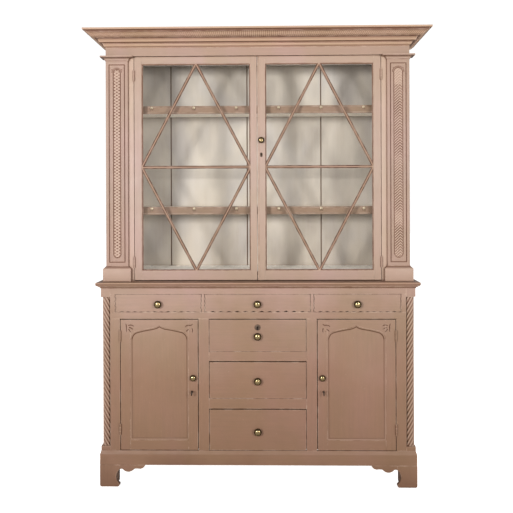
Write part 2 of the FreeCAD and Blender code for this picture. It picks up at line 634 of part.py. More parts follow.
def round_pilaster(steps, z0, z1, reach):
    """Block over the pilaster's width with a moulding round its front and both sides."""
    face = UPPER_FRONT - PILASTER_PROUD
    core = box(-UPPER_HALF, -PILASTER_INNER, face, UPPER_FRONT, z0, z1)
    left = vec(-UPPER_HALF, face, 0)
    right = vec(-PILASTER_INNER, face, 0)
    run = moulding(steps, 0, z0, left, X_AXIS, Y_AXIS * -1, PILASTER_WIDTH, (1, 1), reach)
    outer = moulding(steps, 0, z0, left, Y_AXIS, X_AXIS * -1, PILASTER_PROUD + SIDE_RETURN, (1, 0), reach)
    inner = moulding(steps, 0, z0, right, Y_AXIS, X_AXIS, PILASTER_PROUD, (1, 0), reach)
    return fused([core, run, outer, inner])


def pilaster_mouldings():
    block = round_pilaster(BLOCK, WAIST_TOP, PILASTER_BOTTOM, BLOCK_REACH)
    cap = round_pilaster(CAP, PILASTER_TOP, FRIEZE_BOTTOM, CAP_REACH)
    return with_mirror([block, cap])


def cornice():
    return round_three_sides(CORNICE, CORNICE_SEAT, UPPER_CASE_TOP, UPPER_HALF,
                             UPPER_FRONT - PILASTER_PROUD, BACK, CORNICE_REACH)


def display_shelves():
    solids = []
    for top in SHELF_TOPS:
        solids.append(box(-UPPER_INNER, UPPER_INNER, SHELF_FRONT + SHELF_LIP_THICK, BACK_INNER,
                          top - CASE_BOARD, top))
        solids.append(box(-UPPER_INNER, UPPER_INNER, SHELF_FRONT, SHELF_FRONT + SHELF_LIP_THICK,
                          top - SHELF_LIP_HEIGHT, top))
    return solids


def cup_hook(x, z):
    """Screw hook with a small flange: out, down, round and up again."""
    def at(out, drop):
        return vec(x, SHELF_FRONT - out, z - drop)

    bend = HOOK_BEND * (1 - math.sqrt(0.5))
    stem = HOOK_SHANK + HOOK_BEND
    low = HOOK_BEND + HOOK_STEM
    far = stem + 2 * HOOK_LOOP_RADIUS
    edges = [Part.makeLine(at(0, 0), at(HOOK_SHANK, 0)),
             Part.Arc(at(HOOK_SHANK, 0), at(stem - bend, bend), at(stem, HOOK_BEND)).toShape(),
             Part.makeLine(at(stem, HOOK_BEND), at(stem, low)),
             Part.Arc(at(stem, low), at(stem + HOOK_LOOP_RADIUS, low + HOOK_LOOP_RADIUS),
                      at(far, low)).toShape(),
             Part.makeLine(at(far, low), at(far, low - HOOK_TIP))]
    ring = Part.Wire([Part.makeCircle(HOOK_WIRE_RADIUS, at(0, 0), Y_AXIS)])
    wire = Part.Wire(edges).makePipeShell([ring], True, False)
    flange = Part.makeCylinder(HOOK_FLANGE_RADIUS, HOOK_FLANGE_THICK, at(0, 0), Y_AXIS * -1)
    return wire.fuse(flange)


def cup_hooks():
    hooks = []
    for top in SHELF_TOPS:
        for index in range(HOOKS_PER_SHELF):
            x = (index - (HOOKS_PER_SHELF - 1) / 2) * HOOK_SPACING
            hooks.append(cup_hook(x, top - HOOK_DROP_FROM_TOP))
    return hooks


# Hinges

def hinge(edge, face, bottom):
    """Left-hand butt hinge on the edge of a stile: its fixed half and its moving half."""
    axis_x = edge + HINGE_GAP / 2
    axis_y = face - KNUCKLE_PROUD
    third = HINGE_LENGTH / 3

    def knuckle(index, low_gap, high_gap):
        z = bottom + index * third + low_gap
        return Part.makeCylinder(KNUCKLE_RADIUS, third - low_gap - high_gap, vec(axis_x, axis_y, z))

    def tab(side, index, low_gap, high_gap):
        x = sorted([axis_x + side * LEAF_OFFSET, axis_x + side * (LEAF_OFFSET + LEAF_THICK)])
        z = bottom + index * third
        return box(x[0], x[1], axis_y, face + LEAF_DEPTH, z + low_gap, z + third - high_gap)

    def leaf(side):
        x = sorted([axis_x + side * LEAF_OFFSET, axis_x + side * (LEAF_OFFSET + LEAF_THICK)])
        return box(x[0], x[1], face, face + LEAF_DEPTH, bottom, bottom + HINGE_LENGTH)

    half_gap = KNUCKLE_GAP / 2
    pin = Part.makeCylinder(PIN_RADIUS, HINGE_LENGTH, vec(axis_x, axis_y, bottom))
    bore = Part.makeCylinder(BORE_RADIUS, HINGE_LENGTH, vec(axis_x, axis_y, bottom))
    fixed = fused([leaf(-1), knuckle(0, 0, half_gap), knuckle(2, half_gap, 0), tab(-1, 0, 0, half_gap),
                   tab(-1, 2, half_gap, 0), pin])
    moving = fused([leaf(1), knuckle(1, half_gap, half_gap), tab(1, 1, half_gap, half_gap)]).cut(bore)
    return fixed, moving


def glazed_hinges():
    return [hinge(-STILE_EDGE, UPPER_FRONT, level) for level in GLAZED_HINGE_LEVELS]


def cupboard_hinges():
    return [hinge(-CUPBOARD_OUTER, BASE_FRONT, level) for level in CUPBOARD_HINGE_LEVELS]


def hinge_fixed_leaves():
    return with_mirror([fixed for fixed, _ in glazed_hinges() + cupboard_hinges()])


# Glazed doors

def framed(x0, x1, z0, z1, y0, thick, left, right, top, bottom, rebate, rebate_start):
    """Four frame members with a rebate behind their inner edges."""
    front = (y0, y0 + rebate_start)
    back = (y0 + rebate_start, y0 + thick)
    members = []
    for edge, inner, side in ((x0, x0 + left, -1), (x1, x1 - right, 1)):
        x = sorted([edge, inner])
        x_back = sorted([edge, inner + side * rebate])
        members.append(fused([box(x[0], x[1], front[0], front[1], z0, z1),
                              box(x_back[0], x_back[1], back[0], back[1], z0, z1)]))
    for edge, inner, side in ((z1, z1 - top, 1), (z0, z0 + bottom, -1)):
        z = sorted([edge, inner])
        z_back = sorted([edge, inner + side * rebate])
        members.append(fused([box(x0 + left, x1 - right, front[0], front[1], z[0], z[1]),
                              box(x0 + left - rebate, x1 - right + rebate, back[0], back[1],
                                  z_back[0], z_back[1])]))
    return members


def glazed_sight(meeting_stile):
    """Left door's clear opening in front of the glass: x0, x1, z0, z1."""
    return (-STILE_EDGE + HINGE_GAP + OUTER_STILE, -MEETING_HALF_GAP - meeting_stile,
            GLAZED_BOTTOM + GLAZED_BOTTOM_RAIL, GLAZED_TOP - GLAZED_TOP_RAIL)


def glazed_frame(meeting_stile):
    return framed(-STILE_EDGE + HINGE_GAP, -MEETING_HALF_GAP, GLAZED_BOTTOM, GLAZED_TOP, UPPER_FRONT,
                  DOOR_BOARD, OUTER_STILE, meeting_stile, GLAZED_TOP_RAIL, GLAZED_BOTTOM_RAIL,
                  REBATE_WIDTH, REBATE_START)


def bar_blank(start, end):
    """Round-nosed bar and its glazing fin, along a line of the front view, longer than needed."""
    run = vec(end[0] - start[0], 0, end[1] - start[1])
    length = run.Length
    run.normalize()
    across = vec(run.z, 0, -run.x)
    origin = vec(start[0], 0, start[1]) - run * (length / 2)
    nose = UPPER_FRONT + BAR_FRONT_GAP
    seat = UPPER_FRONT + REBATE_START
    half = BAR_WIDTH / 2

    def place(a, y):
        return origin + across * a + Y_AXIS * y

    steps = [(-half, nose + BAR_NOSE_SHOULDER), (0.0, nose, half, nose + BAR_NOSE_SHOULDER), (half, seat)]
    bar = outline((-half, seat), steps, place).extrude(run * (2 * length))
    fin_half = FIN_WIDTH / 2
    fin_steps = [(-fin_half, UPPER_FRONT + DOOR_BOARD), (fin_half, UPPER_FRONT + DOOR_BOARD),
                 (fin_half, seat)]
    fin = outline((-fin_half, seat), fin_steps, place).extrude(run * (2 * length))
    return bar, fin


def bar_between(start, end, front_room, fin_room):
    bar, fin = bar_blank(start, end)
    y0 = UPPER_FRONT - OVERRUN
    y1 = UPPER_FRONT + DOOR_BOARD + OVERRUN
    bar = bar.common(box(front_room[0], front_room[1], y0, y1, front_room[2], front_room[3]))
    fin = fin.common(box(fin_room[0], fin_room[1], y0, y1, fin_room[2], fin_room[3]))
    return fused([bar, fin])


def lattice_points(meeting_stile):
    x0, x1, z0, z1 = glazed_sight(meeting_stile)
    return x0, x1, z0, z1, (x0 + x1) / 2, (z0 + z1) / 2


def glazed_bars(meeting_stile):
    x0, x1, z0, z1, xc, zc = lattice_points(meeting_stile)
    r = REBATE_WIDTH
    half = BAR_WIDTH / 2
    fin = FIN_WIDTH / 2
    bars = [bar_between((x0, zc), (x1, zc), (x0, x1, z0, z1), (x0 - r, x1 + r, z0, z1))]
    for side_x, x_room, x_fin_room in ((x0, (x0, xc), (x0 - r, xc)), (x1, (xc, x1), (xc, x1 + r))):
        bars.append(bar_between((side_x, zc), (xc, z1), x_room + (zc + half, z1),
                                x_fin_room + (zc + fin, z1 + r)))
        bars.append(bar_between((side_x, zc), (xc, z0), x_room + (z0, zc - half),
                                x_fin_room + (z0 - r, zc - fin)))
    return bars


def glazed_panes(meeting_stile):
    """Six panes: four corners and the two halves of the diamond."""
    x0, x1, z0, z1, xc, zc = lattice_points(meeting_stile)
    room = REBATE_WIDTH - PANE_CLEARANCE
    offset = FIN_WIDTH / 2 + PANE_CLEARANCE
    panes = []
    for z_edge, z_far, up in ((z1, z1 + room, 1), (z0, z0 - room, -1)):
        z_near = zc + up * offset
        centre_panes = [(x0 - room, z_near), (x1 + room, z_near), (x1 + room, z_far), (x0 - room, z_far)]
        for side_x, x_far, side in ((x0, x0 - room, -1), (x1, x1 + room, 1)):
            length = math.hypot(xc - side_x, z_edge - zc)
            normal = (side * abs(z_edge - zc) / length, up * abs(xc - side_x) / length)
            inner = (side_x - normal[0] * offset, zc - normal[1] * offset)
            centre_panes = clipped(centre_panes, inner, normal)
            outer = (side_x + normal[0] * offset, zc + normal[1] * offset)
            x_split = xc + side * PANE_SPLIT_CLEARANCE
            corner = [(x_far, z_near), (x_split, z_near), (x_split, z_far), (x_far, z_far)]
            panes.append(clipped(corner, outer, (-normal[0], -normal[1])))
        panes.append(centre_panes)
    y0 = UPPER_FRONT + REBATE_START
    return [polygon_plate(pane, y0, y0 + PANE_THICK) for pane in panes]


def keyhole_cutter(x, z, y0, y1):
    """Round hole with a slot below it, along Y."""
    depth = y1 - y0
    hole = Part.makeCylinder(KEY_HOLE_RADIUS, depth, vec(x, y0, z), Y_AXIS)
    slot = box(x - KEY_SLOT_WIDTH / 2, x + KEY_SLOT_WIDTH / 2, y0, y1, z - KEY_SLOT_REACH, z)
    return fused([hole, slot])


def shank_hole(x, z, face):
    return Part.makeCylinder(KNOB_SHANK_RADIUS + KNOB_HOLE_CLEARANCE, KNOB_SHANK_LENGTH + OVERRUN,
                             vec(x, face - OVERRUN, z), Y_AXIS)


def glazed_right_stile_centre():
    return MEETING_HALF_GAP + MEETING_STILE_RIGHT / 2


def glazed_right_frame():
    x = glazed_right_stile_centre()
    cutters = [keyhole_cutter(x, GLAZED_KEYHOLE_LEVEL, UPPER_FRONT - OVERRUN,
                              UPPER_FRONT + DOOR_BOARD + OVERRUN),
               shank_hole(x, GLAZED_KNOB_LEVEL, UPPER_FRONT)]
    return [mirrored(member).cut(cutters) for member in glazed_frame(MEETING_STILE_RIGHT)]


def lock_case(x0, x1, y0, z_middle, openings):
    """Shallow lock case on the back of a board, with the given openings cut through it."""
    z0 = z_middle - LOCK_HEIGHT / 2
    z1 = z_middle + LOCK_HEIGHT / 2
    case = box(x0, x1, y0, y0 + LOCK_DEPTH, z0, z1)
    hollow = box(x0 + LOCK_WALL, x1 - LOCK_WALL, y0 + LOCK_WALL, y0 + LOCK_DEPTH - LOCK_WALL,
                 z0 + LOCK_WALL, z1 - LOCK_WALL)
    return case.cut([hollow] + openings)


def glazed_right_lock():
    x = glazed_right_stile_centre()
    face = UPPER_FRONT
    z = GLAZED_KEYHOLE_LEVEL
    inner_face = face + DOOR_BOARD
    hole = keyhole_cutter(x, z, face - OVERRUN, inner_face + LOCK_DEPTH / 2)
    case = lock_case(x - GLAZED_LOCK_WIDTH / 2, x + GLAZED_LOCK_WIDTH / 2, inner_face, z, [hole])
    steps = [(x, z - PLATE_STRAIGHT - PLATE_HALF_WIDTH, x + PLATE_HALF_WIDTH, z - PLATE_STRAIGHT),
             (x + PLATE_HALF_WIDTH, z), (x, z + PLATE_HALF_WIDTH, x - PLATE_HALF_WIDTH, z)]
    plate = outline((x - PLATE_HALF_WIDTH, z - PLATE_STRAIGHT), steps,
                    lambda a, b: vec(a, face - PLATE_THICK, b)).extrude(Y_AXIS * PLATE_THICK)
    return [case, plate.cut(hole)]


# Knobs

def dome_step(start, crown):
    """Arc from a point of a turned outline up to its crown, centred on the axis."""
    centre = (crown ** 2 - start[0] ** 2 - start[1] ** 2) / (2 * (crown - start[1]))
    half = start[0] / 2
    return half, centre + math.sqrt((crown - centre) ** 2 - half ** 2), 0.0, crown


def knob(radius, x, z, face):
    """Turned knob on a front face, with the screw shank that holds it."""
    def place(share, height_share):
        return vec(x + share * radius, face - height_share * radius, z)

    steps = KNOB_OUTLINE_SHARES + [dome_step(KNOB_OUTLINE_SHARES[-1][-2:], KNOB_CROWN_SHARE)]
    turned = outline((0.0, 0.0), steps, place).revolve(vec(x, face, z), Y_AXIS, 360)
    shank = Part.makeCylinder(KNOB_SHANK_RADIUS, KNOB_SHANK_LENGTH, vec(x, face, z), Y_AXIS)
    return turned.fuse(shank)


# Cupboard doors

def cupboard_door_edges():
    """Left door's hinge edge and free edge."""
    return -CUPBOARD_OUTER + HINGE_GAP, -CUPBOARD_INNER - DOOR_FREE_GAP


def arched_rail():
    """Top rail of the left door, its front layer cut to the pointed arch."""
    x0, x1 = cupboard_door_edges()
    x0 += CUPBOARD_STILE
    x1 -= CUPBOARD_STILE
    middle = (x0 + x1) / 2
    z = PANEL_ARCH_SPRING
    half = middle - x0
    left = [tuple(start + share * size for share, start, size in zip(step, [x0, z] * 2, [half, ARCH_RISE] * 2))
            for step in ARCH_HALF_SHARES]
    points = [(x0, z)] + [step[-2:] for step in left]
    right = []
    for index in range(len(left) - 1, -1, -1):
        step = left[index]
        target = points[index]
        mirrored_target = (2 * middle - target[0], target[1])
        if len(step) == 4:
            right.append((2 * middle - step[0], step[1]) + mirrored_target)
        else:
            right.append(mirrored_target)
    peak = [(middle, PANEL_ARCH_PEAK), (2 * middle - points[-1][0], points[-1][1])]
    steps = left + peak + right + [(x1, CUPBOARD_DOOR_TOP), (x0, CUPBOARD_DOOR_TOP)]
    front = outline((x0, z), steps, lambda a, b: vec(a, BASE_FRONT, b)).extrude(Y_AXIS * PANEL_RECESS)
    back = box(x0 - PANEL_REBATE, x1 + PANEL_REBATE, BASE_FRONT + PANEL_RECESS, BASE_FRONT + DOOR_BOARD,
               PANEL_ARCH_PEAK + PANEL_REBATE, CUPBOARD_DOOR_TOP)
    return fused([front, back])


def cupboard_frame():
    """Left door's frame before its lock and knob holes."""
    x0, x1 = cupboard_door_edges()
    members = framed(x0, x1, CUPBOARD_DOOR_BOTTOM, CUPBOARD_DOOR_TOP, BASE_FRONT, DOOR_BOARD,
                     CUPBOARD_STILE, CUPBOARD_STILE, CUPBOARD_STILE, CUPBOARD_BOTTOM_RAIL, PANEL_REBATE,
                     PANEL_RECESS)
    members[2] = arched_rail()
    knob_x = x1 - CUPBOARD_STILE / 2
    cutters = [keyhole_cutter(x1 - KEY_FROM_EDGE, KEY_LEVEL, BASE_FRONT - OVERRUN,
                              BASE_FRONT + DOOR_BOARD + OVERRUN),
               shank_hole(knob_x, CUPBOARD_KNOB_LEVEL, BASE_FRONT)]
    members[1] = members[1].cut(cutters)
    return members


def cupboard_panel():
    x0, x1 = cupboard_door_edges()
    inset = CUPBOARD_STILE - PANEL_REBATE + PANEL_CLEARANCE
    y0 = BASE_FRONT + PANEL_RECESS
    return box(x0 + inset, x1 - inset, y0, y0 + PANEL_THICK,
               CUPBOARD_DOOR_BOTTOM + CUPBOARD_BOTTOM_RAIL - PANEL_REBATE + PANEL_CLEARANCE,
               PANEL_ARCH_PEAK + PANEL_REBATE - PANEL_CLEARANCE)


def cupboard_knob():
    _, x1 = cupboard_door_edges()
    return knob(DOOR_KNOB_RADIUS, x1 - CUPBOARD_STILE / 2, CUPBOARD_KNOB_LEVEL, BASE_FRONT)


def bolt_box(margin, past_end):
    _, x1 = cupboard_door_edges()
    x1 -= LOCK_EDGE_GAP
    y0 = BASE_FRONT + DOOR_BOARD + BOLT_Y_OFFSET
    z = KEY_LEVEL + BOLT_ABOVE_KEY
    return box(x1 - BOLT_LENGTH, x1 + past_end, y0 - margin, y0 + BOLT_THICK + margin,
               z - BOLT_HEIGHT / 2 - margin, z + BOLT_HEIGHT / 2 + margin)


def cupboard_lock():
    _, x1 = cupboard_door_edges()
    y0 = BASE_FRONT + DOOR_BOARD
    hole = keyhole_cutter(x1 - KEY_FROM_EDGE, KEY_LEVEL, y0 - OVERRUN, y0 + LOCK_WALL + OVERRUN)
    return lock_case(x1 - LOCK_EDGE_GAP - LOCK_WIDTH, x1 - LOCK_EDGE_GAP, y0, KEY_LEVEL,
                     [hole, bolt_box(BOLT_SLOT_CLEARANCE, OVERRUN)])


def key():
    """Key of the left door, its bow and bit upright while the bolt is drawn."""
    _, x1 = cupboard_door_edges()
    x = x1 - KEY_FROM_EDGE
    tip = BASE_FRONT + DOOR_BOARD + LOCK_DEPTH - LOCK_WALL - KEY_END_GAP
    bow_y = BASE_FRONT - KEY_REACH + KEY_BOW_RADIUS + KEY_BOW_WIRE
    bow = Part.makeTorus(KEY_BOW_RADIUS, KEY_BOW_WIRE, vec(x, bow_y, KEY_LEVEL), X_AXIS)
    shank_start = bow_y + KEY_BOW_RADIUS
    shank = Part.makeCylinder(KEY_SHANK_RADIUS, tip - shank_start, vec(x, shank_start, KEY_LEVEL), Y_AXIS)
    collar_y = BASE_FRONT - KEY_COLLAR_GAP - KEY_COLLAR_THICK
    collar = Part.makeCylinder(KEY_COLLAR_RADIUS, KEY_COLLAR_THICK, vec(x, collar_y, KEY_LEVEL), Y_AXIS)
    bit = box(x - KEY_BIT_THICK / 2, x + KEY_BIT_THICK / 2, tip - KEY_BIT_LENGTH, tip,
              KEY_LEVEL - KEY_BIT_REACH, KEY_LEVEL)
    return fused([bow, shank, collar, bit])


# Drawers

def scalloped(x0, x1, z0, z1):
    """Front-view outline whose edges are rows of shallow arcs that bulge outwards."""
    steps = []
    corners = [(x0 + SCALLOP_DEPTH, z0 + SCALLOP_DEPTH), (x1 - SCALLOP_DEPTH, z0 + SCALLOP_DEPTH),
               (x1 - SCALLOP_DEPTH, z1 - SCALLOP_DEPTH), (x0 + SCALLOP_DEPTH, z1 - SCALLOP_DEPTH)]
    for index, corner in enumerate(corners):
        after = corners[(index + 1) % len(corners)]
        run = (after[0] - corner[0], after[1] - corner[1])
        length = math.hypot(run[0], run[1])
        count = round(length / SCALLOP_PITCH)
        outward = (run[1] / length * SCALLOP_DEPTH, -run[0] / length * SCALLOP_DEPTH)
        for scallop in range(count):
            middle = (scallop + 0.5) / count
            end = (scallop + 1) / count
            steps.append((corner[0] + run[0] * middle + outward[0], corner[1] + run[1] * middle + outward[1],
                          corner[0] + run[0] * end, corner[1] + run[1] * end))
    return outline(corners[0], steps, lambda x, z: vec(x, BASE_FRONT, z))


def drawer_front(x0, x1, z0, z1, wavy, knob_z):
    """Front that fills an opening less its gap, drilled for its knob."""
    x0 += DRAWER_GAP
    x1 -= DRAWER_GAP
    z0 += DRAWER_GAP
    z1 -= DRAWER_GAP
    if wavy:
        board = scalloped(x0, x1, z0, z1).extrude(Y_AXIS * DRAWER_FRONT_THICK)
    else:
        board = box(x0, x1, BASE_FRONT, BASE_FRONT + DRAWER_FRONT_THICK, z0, z1)
    return board.cut(shank_hole((x0 + x1) / 2, knob_z, BASE_FRONT))


def drawer_box(x0, x1, rest, z1):
    """Two sides, a back and a bottom behind the front, running just above what carries them."""
    x0 += DRAWER_GAP + DRAWER_BOX_SIDE_GAP
    x1 -= DRAWER_GAP + DRAWER_BOX_SIDE_GAP
    z0 = rest + RUNNING_GAP
    z1 -= DRAWER_GAP + DRAWER_BOX_TOP_GAP
    y0 = BASE_FRONT + DRAWER_FRONT_THICK
    y1 = y0 + DRAWER_LENGTH
    bottom_top = z0 + DRAWER_BOTTOM_LIFT + DRAWER_BOTTOM_THICK
    return [box(x0, x0 + DRAWER_SIDE, y0, y1, z0, z1),
            box(x1 - DRAWER_SIDE, x1, y0, y1, z0, z1),
            box(x0 + DRAWER_SIDE, x1 - DRAWER_SIDE, y1 - DRAWER_SIDE, y1, bottom_top, z1),
            box(x0 + DRAWER_SIDE, x1 - DRAWER_SIDE, y0, y1, z0 + DRAWER_BOTTOM_LIFT, bottom_top)]


def drawer_openings():
    """Name, x0, x1, z0, z1, resting level, knob level and front style of each drawer."""
    frieze = (MID_RAIL_TOP, TOP_RAIL_BOTTOM, DUST_BOARD_TOP, FRIEZE_KNOB_LEVEL, True)
    rows = [("frieze_drawer_left", -FRIEZE_OUTER, -FRIEZE_INNER) + frieze,
            ("frieze_drawer_middle", -FRIEZE_CENTRE_HALF, FRIEZE_CENTRE_HALF) + frieze,
            ("frieze_drawer_right", FRIEZE_INNER, FRIEZE_OUTER) + frieze]
    names = ["lower_drawer", "middle_drawer", "upper_drawer"]
    for name, (z0, z1), knob_share in zip(names, CENTRE_DRAWER_LEVELS, CENTRE_KNOB_SHARES):
        knob_z = z0 + (z1 - z0) * knob_share
        rest = z0 + RUNNER_RISE
        if name == names[0]:
            rest = BOTTOM_BOARD_TOP
        rows.append((name, -CENTRE_DRAWER_HALF, CENTRE_DRAWER_HALF, z0, z1, rest, knob_z, False))
    return rows


def drawer_nodes():
    nodes = {}
    for name, x0, x1, z0, z1, rest, knob_z, wavy in drawer_openings():
        front = drawer_front(x0, x1, z0, z1, wavy, knob_z)
        if name == "upper_drawer":
            front = front.cut(keyhole_cutter(0, DRAWER_KEYHOLE_LEVEL, BASE_FRONT - OVERRUN,
                                             BASE_FRONT + DRAWER_FRONT_THICK + OVERRUN))
        nodes[name + "_front"] = [front]
        nodes[name + "_box"] = drawer_box(x0, x1, rest, z1)
        nodes[name + "_knob"] = [knob(DRAWER_KNOB_RADIUS, (x0 + x1) / 2, knob_z, BASE_FRONT)]
    return nodes


def drawer_lock():
    inner_face = BASE_FRONT + DRAWER_FRONT_THICK
    hole = keyhole_cutter(0, DRAWER_KEYHOLE_LEVEL, BASE_FRONT - OVERRUN, inner_face + LOCK_DEPTH / 2)
    case = lock_case(-DRAWER_LOCK_HALF, DRAWER_LOCK_HALF, inner_face, DRAWER_KEYHOLE_LEVEL, [hole])
    plate = Part.makeCylinder(ESCUTCHEON_RADIUS, ESCUTCHEON_THICK,
                              vec(0, BASE_FRONT - ESCUTCHEON_THICK, DRAWER_KEYHOLE_LEVEL), Y_AXIS)
    return [case, plate.cut(hole)]


# Nodes

def fixed_nodes():
    return {
        "base_carcase": base_carcase(),
        "base_back_boards": base_back_boards(),
        "base_top": base_top(),
        "base_face_frame": base_face_frame(),
        "drawer_runners": drawer_runners(),
        "rope_columns": rope_columns(),
        "plinth_rails": plinth_rails(),
        "bracket_feet": bracket_feet(),
        "upper_carcase": upper_carcase(),
        "upper_back_boards": upper_back_boards(),
        "upper_face_frame": upper_face_frame(),
        "pilasters": pilasters(),
        "pilaster_mouldings": pilaster_mouldings(),
        "cornice": cornice(),
        "display_shelves": display_shelves(),
        "cup_hooks": cup_hooks(),
        "hinge_fixed_leaves": hinge_fixed_leaves(),
    }


def glazed_nodes():
    leaves = [moving for _, moving in glazed_hinges()]
    x = glazed_right_stile_centre()
    return {
        "glazed_door_left_frame": glazed_frame(MEETING_STILE_LEFT),
        "glazed_door_left_bars": glazed_bars(MEETING_STILE_LEFT),
        "glazed_door_left_panes": glazed_panes(MEETING_STILE_LEFT),
        "glazed_door_left_hinge_leaves": leaves,
        "glazed_door_right_frame": glazed_right_frame(),
        "glazed_door_right_bars": [mirrored(bar) for bar in glazed_bars(MEETING_STILE_RIGHT)],
        "glazed_door_right_panes": [mirrored(pane) for pane in glazed_panes(MEETING_STILE_RIGHT)],
        "glazed_door_right_hinge_leaves": [mirrored(leaf) for leaf in leaves],
        "glazed_door_right_knob": [knob(DOOR_KNOB_RADIUS, x, GLAZED_KNOB_LEVEL, UPPER_FRONT)],
        "glazed_door_right_lock": glazed_right_lock(),
    }


def cupboard_nodes():
    left = {
        "cupboard_door_{}_frame": cupboard_frame(),
        "cupboard_door_{}_panel": [cupboard_panel()],
        "cupboard_door_{}_hinge_leaves": [moving for _, moving in cupboard_hinges()],
        "cupboard_door_{}_knob": [cupboard_knob()],
        "cupboard_door_{}_lock": [cupboard_lock()],
        "cupboard_lock_bolt_{}": [bolt_box(0, 0)],
        "cupboard_key_{}": [key()],
    }
    nodes = {}
    for name, solids in left.items():
        nodes[name.format("left")] = solids
        nodes[name.format("right")] = [mirrored(solid) for solid in solids]
    return nodes


def main():
    os.makedirs("parts", exist_ok=True)
    nodes = {}
    nodes.update(fixed_nodes())
    nodes.update(glazed_nodes())
    nodes.update(cupboard_nodes())
    nodes.update(drawer_nodes())
    nodes["upper_drawer_lock"] = drawer_lock()
    for name, solids in nodes.items():
        shape = solids[0] if len(solids) == 1 else Part.makeCompound(solids)
        shape.exportStep("parts/" + name + ".step")
    print(len(nodes), "nodes")


main()
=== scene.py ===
import json
import math
import random

import bmesh
import bpy
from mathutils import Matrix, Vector, noise

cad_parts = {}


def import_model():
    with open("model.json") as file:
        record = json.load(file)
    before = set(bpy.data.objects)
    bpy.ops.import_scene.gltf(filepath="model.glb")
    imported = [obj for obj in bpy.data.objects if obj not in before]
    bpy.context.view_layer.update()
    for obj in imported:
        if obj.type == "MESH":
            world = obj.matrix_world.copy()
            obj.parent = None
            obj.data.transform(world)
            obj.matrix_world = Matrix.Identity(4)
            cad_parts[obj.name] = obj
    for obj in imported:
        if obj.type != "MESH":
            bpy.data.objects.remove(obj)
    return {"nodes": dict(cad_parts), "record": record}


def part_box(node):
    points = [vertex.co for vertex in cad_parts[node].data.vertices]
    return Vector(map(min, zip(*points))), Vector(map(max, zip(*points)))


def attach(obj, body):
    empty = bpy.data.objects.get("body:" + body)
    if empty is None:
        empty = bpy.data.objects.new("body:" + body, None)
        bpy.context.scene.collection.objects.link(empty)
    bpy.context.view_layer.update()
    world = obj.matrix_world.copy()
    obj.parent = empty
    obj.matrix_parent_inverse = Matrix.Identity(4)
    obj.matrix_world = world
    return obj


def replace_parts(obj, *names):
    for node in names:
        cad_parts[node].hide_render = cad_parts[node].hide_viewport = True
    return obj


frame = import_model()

# The looks of the two-part kitchen dresser. The front faces -Y and Z is up. Lengths are metres. Sizes that
# come from drawings are in millimetres, and mm() and MM turn them into metres.
MM = 0.001
NODES = frame["nodes"]
SLOT_OF = {part["node"]: part["material_slot"] for part in frame["record"]["subparts"]}
BODY_OF = {node: body for body, nodes in frame["record"]["behaviour"]["bodies"].items() for node in nodes}
SIDES = {"left": -1, "right": 1}
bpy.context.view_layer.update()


def mm(x, y, z):
    """A place given in millimetres."""
    return Vector((x, y, z)) * MM


def box_in_mm(node):
    return [[value / MM for value in corner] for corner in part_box(node)]


def clamp(value, low=0.0, high=1.0):
    return min(high, max(low, value))


def turns(count):
    """Angles in equal steps once round."""
    return [math.tau * k / count for k in range(count)]


def put_in_scene(name, data):
    item = bpy.data.objects.new(name, data)
    bpy.context.scene.collection.objects.link(item)
    return item


# Materials

def rgba(tone):
    return tone if isinstance(tone, bpy.types.NodeSocket) else tuple(tone) + (1.0,)


